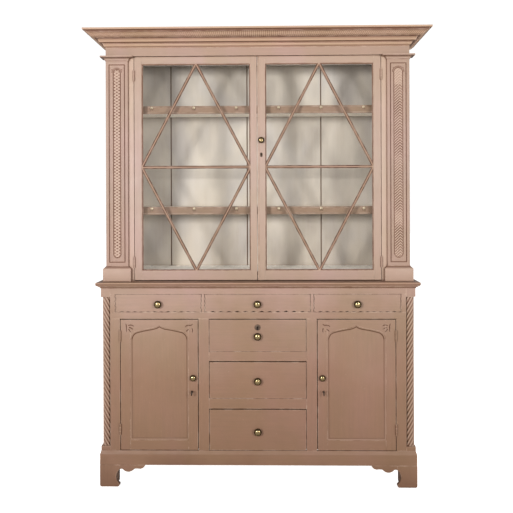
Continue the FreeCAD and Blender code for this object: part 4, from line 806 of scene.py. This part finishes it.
def herringbone_relief(x, z):
    """The same for the right field: rounded ribs between sharp furrows, slanting both ways from a spine."""
    phase = (z + 0.95 * abs(x - HERRINGBONE_SPINE)) / HERRINGBONE_PITCH
    deep = clamp(worn_down(z, 7.0) + 0.3, 0.5)
    if z > HERRINGBONE_WORN_FROM:
        deep *= 0.5
    cut = deep * (1.0 - abs(math.sin(math.pi * phase)) ** 1.1)
    return -0.5 - 4.6 * cut, 2.1 * cut - 0.9


def carved_depth(x, z, half, relief):
    """Depth below the face, and painted shade with soiling in its grooves and painted highlight on its beads,
    of a pilaster whose field has the given half width and relief.
    """
    foot, head = PILASTER_Z
    inset = min(PILASTER_HALF - RING_INSET[0] - abs(x), z - foot - RING_INSET[1], head - RING_INSET[1] - z)
    depth = -RING_DEPTH * ridge(inset - RING_AT, RING_HALF)
    # Painted shade with soiling in the sunk lines
    dirt = 0.65 * ridge(inset - RING_AT, 2.4)
    if inset > STEP_FROM:
        depth -= STEP_DEPTH
    depth -= clamp((inset - DISH[0]) * DISH[1], 0.0, DISH[2])
    foot, head = FIELD_ENDS
    edge = math.hypot(x, z - clamp(z, foot + half, head - half)) - half
    if edge < FIELD_LINE[0]:
        depth -= FIELD_LINE[1] * ridge(edge, FIELD_LINE[0])
        dirt = 0.6 * ridge(edge, FIELD_LINE[0])
    if edge < -1.0:
        inside = min(1.0, -1.0 - edge)
        below, field_shade_and_grime = relief(x, z)
        depth += inside * below
        dirt += inside * field_shade_and_grime
    if z > head - half:
        second = ridge(edge - HEAD_LINE_AT, HEAD_LINE[0])
        spot = ridge(math.hypot(abs(x) - HEAD_SPOT[0], z - head + 1.0), HEAD_SPOT[1])
        depth -= HEAD_LINE[1] * second + HEAD_SPOT[2] * spot
        dirt += 0.7 * second + 0.8 * spot
    bead = math.hypot(abs(x) - (half + BEADS_AT), (z % BEAD_PITCH) - BEAD_PITCH / 2)
    if foot + half < z < head - half and bead < BEAD_SPOT[0]:
        depth += BEAD_SPOT[1] * math.sqrt(1.0 - (bead / BEAD_SPOT[0]) ** 2)
        dirt -= 0.4
    return depth, dirt


def carved_pilaster(side, half, relief):
    """A closed post whose front is a fine grid pushed in by the carved depth."""
    bm = bmesh.new()
    middle = side * PILASTER_MIDDLE
    grid = []
    for z in stepped(GRID_Z, GRID_Z_STEPS):
        line = [(-PILASTER_HALF, RETURN_DEPTH)]
        for x in stepped(GRID_X, GRID_X_STEPS):
            arris = ARRIS_SLOPE * max(0.0, abs(x) - ARRIS_FROM)
            line.append((x, arris - carved_depth(x, z, half, relief)[0]))
        line.append((PILASTER_HALF, RETURN_DEPTH))
        grid.append([bm.verts.new(mm(middle + x, FRIEZE_FACE + y, z)) for x, y in line])
    for first, second in zip(grid, grid[1:]):
        for k in range(len(first) - 1):
            bm.faces.new((first[k], first[k + 1], second[k + 1], second[k]))
    rim = [edge for edge in bm.edges if edge.is_boundary]
    push_to(bmesh.ops.extrude_edge_only(bm, edges=rim), FRIEZE_FACE + POST_DEPTH)
    bmesh.ops.contextual_create(bm, geom=[edge for edge in bm.edges if edge.is_boundary])
    bm.normal_update()
    put_grain(bm, 2, "pilaster" + str(side))
    put_relief(bm, lambda spot: carved_depth(spot.x - middle, spot.z, half, relief)[1])
    return bm


def pilaster_pieces():
    left = carved_pilaster(-1, LATTICE_HALF, lattice_relief)
    right = carved_pilaster(1, HERRINGBONE_HALF, herringbone_relief)
    finish_piece(merged([left, right]), "pilasters_carved", "pilasters", smooth=60.0)


# Rope columns: seven strands round a core of squarish plan
ROPE_X = 739
ROPE_Y = -188
ROPE_Z = (197, 922)
ROPE_STEP = 3.0
ROPE_RADII = (14.4, 18.9)
ROPE_STRANDS = 7
ROPE_FACETS = 16 * ROPE_STRANDS
ROPE_LEAD = 196
ROPE_RIB_SHARE = 0.36
ROPE_SQUARENESS = 3.4


def rope_rib(turn, z, side):
    """1 on the crest of a half-round rib, 0 in the groove."""
    phase = (turn - side * math.tau * z / ROPE_LEAD) * ROPE_STRANDS / math.tau
    off = abs(phase - round(phase)) / ROPE_RIB_SHARE
    return math.sqrt(1.0 - off * off) if off < 1.0 else 0.0


def rope_point(turn, z, side):
    """A point of the carved column's surface."""
    x, y = math.cos(turn), math.sin(turn)
    full = (abs(x) ** ROPE_SQUARENESS + abs(y) ** ROPE_SQUARENESS) ** (-1 / ROPE_SQUARENESS)
    radius = (ROPE_RADII[0] + (ROPE_RADII[1] - ROPE_RADII[0]) * rope_rib(turn, z, side)) * full
    return mm(side * ROPE_X + radius * x, ROPE_Y + radius * y, z)


def rope_columns():
    parts = []
    for side in SIDES.values():
        bm = bmesh.new()
        loft(bm, [[rope_point(turn, z, side) for turn in turns(ROPE_FACETS)]
                  for z in stepped(ROPE_Z, (ROPE_STEP,))])
        bm.normal_update()
        put_grain(bm, 2, "rope" + str(side))

        # Painted shade in the grooves between strands and painted highlight on their crests
        def dirt(spot, side=side):
            turn = math.atan2(spot.y - ROPE_Y, spot.x - side * ROPE_X)
            return 0.62 - 1.2 * rope_rib(turn, spot.z, side)
        put_relief(bm, dirt)
        parts.append(bm)
    finish_piece(merged(parts), "rope_columns_turned", "rope_columns", smooth=70.0)


# Small leaf cuts in the upper corners of the cupboard doors. Each stroke is given by distances in from the
# door's edge and down from its top. Trims are left, right, bottom and top.
DOOR_TOP = 814.5
DOOR_FACE = -213
DOOR_EDGES = (-668.5, -289.0)
DOOR_TRIMS = {"left": (0.9, 2.0, -0.5, 2.8), "right": (2.0, 0.9, -0.5, 2.8)}
CUT_RADIUS = 2.9
CUT_END_SHARE = 0.45
CUT_FACETS = 10
LEAF_REACH = (20, 68)
LEAF_OUTER = [[(26.5, 22), (29, 34), (29.5, 48), (29.2, 63)],
              [(37, 31), (47, 28.8), (57, 30.2), (65.5, 34.5)],
              [(41, 39.5), (50, 42.5), (62, 49.5)],
              [(38.5, 46.5), (44, 55), (52.5, 64)]]
LEAF_INNER = [[(26.5, 24), (35, 30.5), (48, 30), (57.5, 33), (63.5, 38.5)],
              [(30.5, 43), (27, 53), (28.2, 65)],
              [(45.5, 47.5), (52.5, 54), (59.5, 60.5)],
              [(40.5, 59.5), (40.4, 62.0)]]


def cut_tube(bm, points, place):
    """A closed tube, thin at both ends, lying in the door's face."""
    line = [place(spot) for spot in smooth_line(points, 5)]
    rings = []
    for k, at in enumerate(line):
        run = run_at(line, k)
        across = Vector((run.z, 0, -run.x))
        share = k / (len(line) - 1)
        radius = CUT_RADIUS * (CUT_END_SHARE + (1 - CUT_END_SHARE) * math.sin(math.pi * share) ** 0.6)
        rings.append([(at + across * radius * math.cos(a) + Vector((0, radius * math.sin(a), 0))) * MM
                      for a in turns(CUT_FACETS)])
    loft(bm, rings)


def leaf_dirt(spot):
    """Painted shade in the leaf cuts of a cupboard door and nowhere else on it."""
    across = min(abs(abs(spot.x) - abs(edge)) for edge in DOOR_EDGES)
    cut = 0.3 < spot.y - DOOR_FACE < CUT_RADIUS + 0.3
    return 0.8 if cut and across > LEAF_REACH[0] and spot.z > DOOR_TOP - LEAF_REACH[1] else 0.0


def cupboard_leaves():
    for name, side in SIDES.items():
        cutter = bmesh.new()
        for edge, inward, strokes in ((DOOR_EDGES[0], 1, LEAF_OUTER), (DOOR_EDGES[1], -1, LEAF_INNER)):
            def place(spot, edge=edge, inward=inward, side=side):
                return Vector((-side * (edge + inward * spot.x), DOOR_FACE, DOOR_TOP - spot.y))
            for stroke in strokes:
                cut_tube(cutter, stroke, place)
        bmesh.ops.recalc_face_normals(cutter, faces=cutter.faces)
        worked_over("cupboard_door_%s_frame" % name, 1.1, cutter=cutter, trims=DOOR_TRIMS[name],
                    depth_of=leaf_dirt)
        cutter.free()


# The small moulding round a cupboard door's panel, under its pointed arch. ARCH_SHARES holds the middle and
# the end of three arcs as shares of the half width and the rise. Painted shade, and painted highlight where
# it is below 0, goes with the profile's points; on the straight sides it is weaker by a share and lower by a
# step.
PANEL_SIDES = (-620.5, -337.0)
PANEL_BOTTOM = 227.0
ARCH_SPRING = 713.0
ARCH_RISE = 73.0
ARCH_SHARES = [(0.0536, 0.334, 0.1905, 0.562), (0.4656, 0.692, 0.7337, 0.788), (0.8889, 0.87, 1, 1)]
PANEL_PROFILE = [(-0.3, -211.8), (1, -211.8), (3.2, -211.2), (5.2, -209.8), (6.8, -208), (8.2, -206.8),
                 (9.6, -206.1), (10.6, -204.7), (-0.3, -204.7)]
PANEL_SHADE = [0.6, 0.3, -0.4, 0.2, 0.9, 1.0, 0.8, 0.3, 0.6]
SIDE_SHADE = (0.5, -0.15)


def panel_outline():
    """The left door's opening, anticlockwise from its lower left corner."""
    x0, x1 = PANEL_SIDES
    half = (x1 - x0) / 2
    rise = [(x0, ARCH_SPRING)]
    for share in ARCH_SHARES:
        middle = (x0 + share[0] * half, ARCH_SPRING + share[1] * ARCH_RISE)
        end = (x0 + share[2] * half, ARCH_SPRING + share[3] * ARCH_RISE)
        rise += arc(rise[-1], middle, end, 8)
    fall = [(x0 + x1 - x, z) for x, z in rise[:-1]]
    return [(x0, PANEL_BOTTOM), (x1, PANEL_BOTTOM)] + fall + rise[::-1]


def swept_ring(path, profile, relief, mirror=1):
    """A closed moulding: profile gives distance inward from the path and y."""
    bm = bmesh.new()
    layer = bm.verts.layers.float.new("relief")
    spots = [Vector(point) for point in path]
    rings = []
    for before, at, after in zip(spots[-1:] + spots[:-1], spots, spots[1:] + spots[:1]):
        inward = [Vector((-run.y, run.x)) for run in ((at - before).normalized(), (after - at).normalized())]
        mitre = (inward[0] + inward[1]) / (1.0 + inward[0].dot(inward[1]))
        ring = []
        for (out, y), dirt in zip(profile, relief):
            spot = at + mitre * out
            vertex = bm.verts.new(mm(mirror * spot.x, y, spot.y))
            vertex[layer] = dirt
            ring.append(vertex)
        rings.append(ring)
    skin(bm, rings, looped=True)
    bm.normal_update()
    return bm


def panel_mouldings():
    for name, side in SIDES.items():
        bm = swept_ring(panel_outline(), PANEL_PROFILE, PANEL_SHADE, -side)
        layer = bm.verts.layers.float["relief"]
        for vertex in bm.verts:
            # The straight sides get weaker painted shade than the arch
            if vertex.co.z < ARCH_SPRING * MM:
                vertex[layer] = vertex[layer] * SIDE_SHADE[0] + SIDE_SHADE[1]
        put_grain(bm, 2, "panel" + name)
        added_piece(bm, "cupboard_door_%s_moulding" % name, "cupboard_door_%s_frame" % name, smooth=40.0,
                    material=SOFT_PAINT)


# Knobs turned on a lathe, with a rosette plate. The outline is shares of the radius and of the reach.
KNOB_FACETS = 44
GLAZED_FACE = -138
SHANK_RADIUS = 3.2
KNOB_OUTLINE = [
    (0.66, 0), (0.70, 0.03), (0.70, 0.09), (0.62, 0.13), (0.46, 0.17), (0.37, 0.25), (0.36, 0.34),
    (0.44, 0.42), (0.66, 0.47), (0.88, 0.51), (0.975, 0.56), (1, 0.63), (0.975, 0.69), (0.90, 0.735),
    (0.865, 0.755), (0.84, 0.80), (0.75, 0.875), (0.60, 0.94), (0.42, 0.98), (0.20, 0.997), (0.04, 1)]


def turned_knob(node):
    """A knob that fills its CAD node's box and stands on the face of its door or drawer."""
    face = GLAZED_FACE if node.startswith("glazed") else DOOR_FACE
    low, high = box_in_mm(node)
    radius = (high[0] - low[0]) / 2
    x = (high[0] + low[0]) / 2
    z = (high[2] + low[2]) / 2
    reach = face - low[1]
    profile = [(SHANK_RADIUS * 0.7, high[1]), (SHANK_RADIUS, high[1] - 0.6), (SHANK_RADIUS, face + 0.02)]
    profile += [(radius * r, face - reach * out) for r, out in KNOB_OUTLINE]
    bm = bmesh.new()
    lathe(bm, profile, x, z, KNOB_FACETS)

    # Tarnish and painted shade towards the rim and on the back of the knob
    def dirt(spot):
        behind = clamp((0.60 - (face - spot.y) / reach) / 0.1)
        return max(behind, clamp((math.hypot(spot.x - x, spot.z - z) / radius - 0.45) / 0.5))
    put_relief(bm, dirt)
    finish_piece(bm, node + "_turned", node, smooth=42.0)


# Small mouldings of the glazed doors: the bead round the glass, and the cover bead between the doors
GLASS_SIGHTS = {"left": (-575.0, -33.0), "right": (39.0, 575.0)}
SIGHT_Z = (1043.0, 2071.5)
BEAD_FRONT = -134.5
BEAD_PROFILE = [(-0.4, 0), (0.4, 0), (1.6, 0.7), (2.6, 2.4), (3.4, 4.4), (6.4, 5.6), (6.4, 8.3), (-0.4, 8.3)]
MEETING_X = 6.4
MEETING_Y = (-137.9, -136.5)
MEETING_RINGS = [(997.6, 3), (999, 3.6), (2102.5, 3.6), (2103.9, 3)]


def sight_bead(side):
    """A quarter-round bead that frames the glass inside the door's stiles and rails."""
    (x0, x1), (z0, z1) = GLASS_SIGHTS[side], SIGHT_Z
    profile = [(out, BEAD_FRONT + back) for out, back in BEAD_PROFILE]
    # Painted shade, deeper towards the glass
    dirt = [clamp((back - 0.5) / 2.5) for _, back in BEAD_PROFILE]
    bm = swept_ring([(x0, z0), (x1, z0), (x1, z1), (x0, z1)], profile, dirt)
    put_grain(bm, 2, "bead" + side)
    added_piece(bm, "glazed_door_%s_bead" % side, "glazed_door_%s_frame" % side, material=DOOR_PAINT)


def meeting_bead():
    """The half-round cover bead on the right door's meeting stile."""
    front, back = MEETING_Y
    rings = []
    for z, size in MEETING_RINGS:
        rings.append([mm(MEETING_X + size * math.cos(a), front - size * 0.62 * math.sin(a), z)
                      for a in (math.pi * k / 8 for k in range(9))] + [mm(MEETING_X, back, z)])
    bm = bmesh.new()
    loft(bm, rings)
    bm.normal_update()
    put_grain(bm, 2, "meeting")
    added_piece(bm, "glazed_door_right_cover_bead", "glazed_door_right_frame", material=DOOR_PAINT)


# Section of a glazing bar, the painted shade at each depth of it with painted highlight on its round, and how
# far a bar runs on beyond the sight
BAR_SECTION = [(-7.5, -126.3), (-7.5, -130.2), (-5.6, -130.9), (-4.7, -128.9), (-4.1, -131.4), (-2.4, -133.4),
               (0, -134), (2.4, -133.4), (4.1, -131.4), (4.7, -128.9), (5.6, -130.9), (7.5, -130.2),
               (7.5, -126.3), (2, -126.3), (2, -117), (-2, -117), (-2, -126.3)]
BAR_SHADE = {-126.3: 1.0, -130.2: 0.9, -130.9: 0.85, -128.9: 1.0, -131.4: 0.5, -133.4: -0.35, -134.0: -0.7}
BAR_END = 5.0


def moulded_bars(side):
    """Astragal bars: a cross bar and the four sides of a tall diamond, with quirks beside the round."""
    (x0, x1), (z0, z1) = GLASS_SIGHTS[side], SIGHT_Z
    xc = (x0 + x1) / 2
    zc = (z0 + z1) / 2
    runs = [((x0 - BAR_END, zc), (x1 + BAR_END, zc))]
    for x in (x0, x1):
        for z in (z0, z1):
            run = run_at([(x, zc), (xc, z)], 0)
            runs.append(((x, zc), tuple(Vector((xc, z)) + run * BAR_END)))
    parts = []
    for index, ends in enumerate(runs):
        run = run_at(ends, 0)
        bm = bmesh.new()
        loft(bm, [[mm(x - run.y * a, y, z + run.x * a) for a, y in BAR_SECTION] for x, z in ends])
        bm.normal_update()
        put_grain(bm, 2 if index else 0, "bar%s%d" % (side, index))
        # Painted shade in the quirks and at the back, painted highlight on the round
        put_relief(bm, lambda spot: BAR_SHADE.get(round(spot.y, 1), 0.0))
        parts.append(bm)
    node = "glazed_door_%s_bars" % side
    finish_piece(merged(parts), node + "_moulded", node, smooth=30.0, material=BAR_PAINT)


# Cup hooks and beads along the shelf fronts. A flange is radius and distance out, a hook's line is distance
# out and height.
HOOK_X = (-532.5, -319.5, -106.5, 106.5, 319.5, 532.5)
HOOK_Z = (1351.0, 1858.0)
HOOK_FLANGE = [(7.2, 0), (7.4, 1.2), (6.8, 2.9), (5.2, 4.5), (3, 5.5), (1.6, 6)]
HOOK_LINE = [(0, 0), (5.5, 0), (8, -1.2), (8.3, -5), (9.6, -9.4), (13.8, -12.2), (18.2, -9.6),
             (19.6, -4.6)]
HOOK_WIRE = 1.55
HOOK_FACETS = 10
FLANGE_FACETS = 24
SHELF_FRONT = -83.0
BEAD_RADIUS = 2.4
BEAD_INSET = 5.5
BEAD_END_GAP = 2.0


# Painted shade on the hook's wire and round the rim of its flange
def hook_dirt(spot):
    out = SHELF_FRONT - spot.y
    return 0.85 if out > 6.2 else 0.6 if out < 1.5 else 0.0


def cup_hooks():
    bm = bmesh.new()
    line = smooth_line(HOOK_LINE, 3)
    for z in HOOK_Z:
        for x in HOOK_X:
            lathe(bm, [(r, SHELF_FRONT + 0.05 - out) for r, out in HOOK_FLANGE], x, z, FLANGE_FACETS)
            rings = []
            for k, spot in enumerate(line):
                run = run_at(line, k) * HOOK_WIRE
                rings.append([mm(x + HOOK_WIRE * math.cos(a), SHELF_FRONT - spot.x + run.y * math.sin(a),
                                 z + spot.y + run.x * math.sin(a)) for a in turns(HOOK_FACETS)])
            loft(bm, rings)
    put_relief(bm, hook_dirt)
    finish_piece(bm, "cup_hooks_turned", "cup_hooks", smooth=40.0, material=HOOK_METAL)


def shelf_beads():
    """Two thin beads along the front of each shelf."""
    shelf = NODES["display_shelves"].data
    levels = sorted({round(v.co.z / MM, 1) for v in shelf.vertices if abs(v.co.y / MM - SHELF_FRONT) < 0.1})
    low, high = box_in_mm("display_shelves")
    ends = (low[0] + BEAD_END_GAP, high[0] - BEAD_END_GAP)
    section = [(0.4 - BEAD_RADIUS * math.sin(a), BEAD_RADIUS * math.cos(a))
               for a in (math.pi * k / 6 for k in range(7))]
    bm = bmesh.new()
    for level, inset in zip(levels, (BEAD_INSET, -BEAD_INSET) * 2):
        loft(bm, [[mm(x, SHELF_FRONT + y, level + inset + z) for y, z in section] for x in ends])
    bm.normal_update()
    put_grain(bm, 0, "shelf beads")
    # Painted highlight on the beads' fronts, painted shade where they meet the shelf
    put_relief(bm, lambda spot: -0.35 if spot.y < SHELF_FRONT - 1.0 else 0.8)
    added_piece(bm, "display_shelf_beads", "display_shelves", material=SHELF_PAINT)


# Frieze drawer fronts with scalloped edges, worn deepest along the bottom. Each wave is its pitch, its depth
# and how sharp its notches are.
FRONT_EDGE_SOFTNESS = 0.8
EDGE_STEP = 2.2
RIM_GAP = 2.1
RIM_REACH = 2.8
RIM_DEPTH = 8.0
RIM_UNDER = 0.35
SQUARE_CORNER = 8.0
SIDE_WAVE = (21.0, 5.2, 1.0)
TOP_WAVE = (18.0, -0.5, 0.8)
BOTTOM_WAVES = {"frieze_drawer_middle_front": (40.0, 6.0, 1.7)}
THIN_BOTTOM_WAVE = (33.0, 3.6, 1.2)
FRIEZE_PLACES = ("left", "middle", "right")
FRIEZE_FRONTS = ["frieze_drawer_%s_front" % place for place in FRIEZE_PLACES]


def scallop(at, length, pitch, depth, sharpness):
    """Inset of the edge at a place along it: rounded notches, one for each pitch."""
    count = max(1, round(length / pitch))
    wave = 0.5 + 0.5 * math.cos(math.tau * count * at / length)
    return depth * wave ** sharpness


def scalloped_edges(node):
    """The four edges of a drawer front, anticlockwise from the lower left: points of each, with the inset."""
    (x0, _, z0), (x1, _, z1) = box_in_mm(node)
    ripple = random.Random(node)
    edges = [((x0, z0), (1, 0), (0, 1), x1 - x0, BOTTOM_WAVES.get(node, THIN_BOTTOM_WAVE)),
             ((x1, z0), (0, 1), (-1, 0), z1 - z0, SIDE_WAVE), ((x1, z1), (-1, 0), (0, -1), x1 - x0, TOP_WAVE),
             ((x0, z1), (0, -1), (1, 0), z1 - z0, SIDE_WAVE)]
    made = []
    for (x, z), run, inward, length, wave in edges:
        count = round(length / EDGE_STEP)
        pitch = wave[0]
        lean = [ripple.uniform(0.6, 1.15) for _ in range(round(length / pitch) + 2)]
        line = []
        for k in range(count):
            at = length * k / count
            inset = scallop(at, length, *wave) * lean[min(int(at / pitch + 0.5), len(lean) - 1)]
            inset *= min(1.0, at / SQUARE_CORNER, (length - at) / SQUARE_CORNER)
            line.append((x + run[0] * at + inward[0] * inset, z + run[1] * at + inward[1] * inset))
        made.append(line)
    return made


def scalloped_front(node):
    low, high = box_in_mm(node)
    bm = bmesh.new()
    prism(bm, [point for line in scalloped_edges(node) for point in line], low[1], high[1])
    rim = [edge for edge in bm.edges if all(abs(v.co.y / MM - low[1]) < 0.001 for v in edge.verts)]
    bmesh.ops.bevel(bm, geom=rim, offset=FRONT_EDGE_SOFTNESS * MM, segments=2, profile=0.6, affect="EDGES",
                    clamp_overlap=True)
    bm.normal_update()
    put_grain(bm, 0, node)
    finish_piece(bm, node + "_scalloped", node, smooth=32.0, flat=True)


def scalloped_rims():
    """Strips on the base frame: beside the frieze drawers a gap away from their waves, and under them."""
    bm = bmesh.new()
    for node in FRIEZE_FRONTS:
        (x0, front, under), (x1, _, _) = box_in_mm(node)
        edges = scalloped_edges(node)
        outlines = []
        for line, outward, side in ((edges[1], 1, x1), (edges[3], -1, x0)):
            wave = [(x + outward * RIM_GAP, z) for x, z in line[1:]]
            outer = side + outward * RIM_REACH
            outlines.append(wave + [(outer, wave[-1][1]), (outer, wave[0][1])])
        outlines.append([(x0, under - RIM_REACH), (x1, under - RIM_REACH), (x1, under - RIM_UNDER),
                         (x0, under - RIM_UNDER)])
        for outline in outlines:
            prism(bm, outline, front, front + RIM_DEPTH)
    bm.normal_update()
    put_grain(bm, 2, "rims")
    added_piece(bm, "frieze_opening_rims", "base_face_frame", smooth=32.0)


# Keyhole of the upper drawer: its round eye, the slot's lower end, and how far the painted black of its
# opening reaches
KEYHOLE_LEVEL = 774.2
KEYHOLE_DROP = 9.0
KEYHOLE_SHADE_REACH = 6.5
# The groove between two upper back boards, from just behind their face to short of their back
BOARD_FACE = 249
GROOVE = (BOARD_FACE + 0.6, CASE_BACK - 2.0)


def escutcheon_dirt(spot):
    """Painted shade that spreads the black of the keyhole round its eye and slot, and a little soiling on the
    rest of the plate.
    """
    away = min(math.hypot(spot.x, spot.z - KEYHOLE_LEVEL + drop) for drop in (0.0, KEYHOLE_DROP))
    return 1.0 if away < KEYHOLE_SHADE_REACH else 0.15


def groove_dirt(spot):
    return 1.0 if GROOVE[0] < spot.y < GROOVE[1] else 0.0


# Painted shade and highlight along the mouldings, with their soiling and wear: heights, and the relief there
BASE_TOP_RELIEF = [(965, 0.9), (968.5, 0.8), (970.5, 0), (975, 0.2), (976, 0.9), (976.6, 0), (980, -0.3),
                   (983.5, 0.6), (987, 0.5), (989, -0.4), (991, -0.6), (993, -0.2), (994, 0.35)]
CORNICE_RELIEF = [(2147, 0.4), (2150, 0), (2153, 0.6), (2155, 0), (2162, -0.3), (2164, 0.1), (2166, 0.7),
                  (2169, 0.2), (2170, 0.6), (2172, 0.9), (2175, -0.3), (2186, -0.1), (2188, 0.7), (2190, 0.9),
                  (2193, 0.6), (2194.5, 0.1), (2211, 0.1), (2213, 0.9), (2216, 1), (2220, 0.9),
                  (2222.5, -0.1), (2226, -0.35), (2230, -0.3)]
CORNICE_SLICES = (2216, 2220, 2222.5, 2226)
PILASTER_RELIEF = [(994, -0.5), (1000, 0), (1055, -0.4), (1063, 0.5), (1065, 0.9), (1067, 0.9), (1070, 0),
                   (2085, 0.4), (2089, -0.2), (2096, 0.4), (2099, 0.8), (2101, 0), (2107, -0.5)]


def banded(bands):
    """A relief that follows height through the given pairs."""
    def depth_of(spot):
        for (low, first), (high, second) in zip(bands, bands[1:]):
            if low <= spot.z <= high:
                return first + (second - first) * (spot.z - low) / (high - low)
        return bands[0][1] if spot.z < bands[0][0] else bands[-1][1]
    return depth_of


# Boards that keep their CAD shape, and how wide their edges are worn
PLAIN_BOARDS = {
    "base_carcase": 1.0, "base_back_boards": 0.8, "base_face_frame": 0.9, "drawer_runners": 0.8,
    "plinth_rails": 1.4, "bracket_feet": 1.6,
    "cupboard_door_left_panel": 0.5, "cupboard_door_right_panel": 0.5,
}
DRAWERS = ["upper_drawer", "middle_drawer", "lower_drawer"] + ["frieze_drawer_" + p for p in FRIEZE_PLACES]
BOX_WEAR = 0.8
# Left, right, bottom and top trims of the fronts, which have dropped a little in their openings
FRONT_TRIMS = {
    "upper_drawer_front": (0.6, 0.6, -0.5, 2.6), "middle_drawer_front": (0.8, 0.8, -0.5, 3.6),
    "lower_drawer_front": (0.8, 0.8, -0.5, 3.6), "glazed_door_left_frame": (0.2, 0.9, 0.0, -1.2),
    "glazed_door_right_frame": (0.0, 0.2, 0.0, -1.2),
}
for node, width in PLAIN_BOARDS.items():
    worked_over(node, width)
for drawer in DRAWERS:
    worked_over(drawer + "_box", BOX_WEAR)
for node, trims in FRONT_TRIMS.items():
    worked_over(node, 1.5, trims=trims, material=DOOR_PAINT if node.startswith("glazed") else PAINT)
worked_over("base_top", 0.7, material=TOP_PAINT, depth_of=banded(BASE_TOP_RELIEF), flat=False)
worked_over("pilaster_mouldings", 0.8, depth_of=banded(PILASTER_RELIEF), flat=False)
worked_over("cornice", 0.6, material=CORNICE_PAINT, depth_of=banded(CORNICE_RELIEF), slices=CORNICE_SLICES,
            flat=False)
worked_over("upper_drawer_lock", 0.3, depth_of=escutcheon_dirt)
worked_over("upper_face_frame", 1.0, material=FRAME_PAINT)
worked_over("upper_back_boards", 4.4, depth_of=groove_dirt)
worked_over("upper_carcase", 0.9, material=LINED_PAINT)
worked_over("display_shelves", 1.6, material=SHELF_PAINT)
cornice_reeds()
pilaster_pieces()
rope_columns()
cupboard_leaves()
panel_mouldings()
for side in SIDES:
    sight_bead(side)
    moulded_bars(side)
meeting_bead()
cup_hooks()
shelf_beads()
for node in FRIEZE_FRONTS:
    scalloped_front(node)
scalloped_rims()
for node in NODES:
    if node.endswith("_knob"):
        turned_knob(node)

for node, solid in NODES.items():
    if not solid.hide_render:
        solid.data.materials.clear()
        solid.data.materials.append(FINISHES[SLOT_OF[node]])


# Floor, lights and camera

WHITE = (1.0, 1.0, 1.0, 1.0)
AMBIENT = 0.40
BACKDROP = 1.06
FLOOR_HALF = 30.0
FLOOR_GLOW = 0.85
LAMP_TINT = (1.0, 0.98, 0.96)


def soft_light(name, spot, target, width, height, power, mirrored=True):
    data = bpy.data.lights.new(name, "AREA")
    data.shape = "RECTANGLE"
    data.size = width
    data.size_y = height
    data.energy = power
    data.color = LAMP_TINT
    lamp = put_in_scene(name, data)
    lamp.location = spot
    lamp.visible_glossy = mirrored
    lamp.rotation_euler = (Vector(target) - Vector(spot)).to_track_quat("-Z", "Y").to_euler()


def floor():
    """A white ground that glows where it is seen, and is grey to the light that falls on it."""
    finish = Finish("pale_floor")
    seen = finish.add("ShaderNodeBsdfPrincipled", {
        "Base Color": (0.95, 0.95, 0.95, 1.0), "Roughness": 0.9, "Specular IOR Level": 0.0,
        "Emission Color": WHITE, "Emission Strength": FLOOR_GLOW})
    lit = finish.add("ShaderNodeBsdfDiffuse", {"Color": (0.5, 0.5, 0.5, 1.0)})
    path = finish.add("ShaderNodeLightPath").outputs["Is Camera Ray"]
    bm = bmesh.new()
    bmesh.ops.create_grid(bm, x_segments=2, y_segments=2, size=FLOOR_HALF)
    mesh = bpy.data.meshes.new("floor")
    bm.to_mesh(mesh)
    bm.free()
    mesh.materials.append(finish.blended(path, lit, seen))
    put_in_scene("floor", mesh)


def world():
    """White behind the object, and a weaker white as the light all round it."""
    sky = Finish("studio", bpy.data.worlds, "ShaderNodeOutputWorld")
    strength = sky.span(sky.add("ShaderNodeLightPath").outputs["Is Camera Ray"], 0.0, 1.0, AMBIENT, BACKDROP)
    white = sky.add("ShaderNodeBackground", {"Color": WHITE, "Strength": strength})
    bpy.context.scene.world = sky.shown_by(white)


def camera():
    data = bpy.data.cameras.new("camera")
    data.lens = 53.5
    data.sensor_width = 36.0
    data.shift_x = -0.001
    data.shift_y = -0.105
    eye = put_in_scene("camera", data)
    eye.location = (0.077, -3.913, 1.38)
    eye.rotation_euler = (math.radians(90.0), math.radians(0.2), math.radians(1.2))
    bpy.context.scene.camera = eye


bpy.context.scene.view_settings.view_transform = "Standard"
floor()
world()
camera()
soft_light("left_softbox", (-2.05, -4.5, 1.8), (0.0, 0.0, 1.3), 0.6, 0.6, 162.0)
soft_light("right_softbox", (2.25, -4.5, 1.75), (0.0, 0.0, 1.3), 0.7, 0.7, 124.0)
soft_light("left_side_softbox", (-4.4, 1.3, 1.7), (-0.7, 0.0, 1.2), 1.6, 2.0, 70.0)
soft_light("right_side_softbox", (4.4, 1.3, 1.7), (0.7, 0.0, 1.2), 1.6, 2.0, 70.0)
soft_light("back_softbox", (0.0, 4.8, 2.2), (0.0, 0.2, 1.1), 2.0, 1.6, 110.0)
soft_light("front_softbox", (0.1, -5.2, 2.0), (0.0, 0.0, 1.2), 2.0, 1.6, 56.0, mirrored=False)
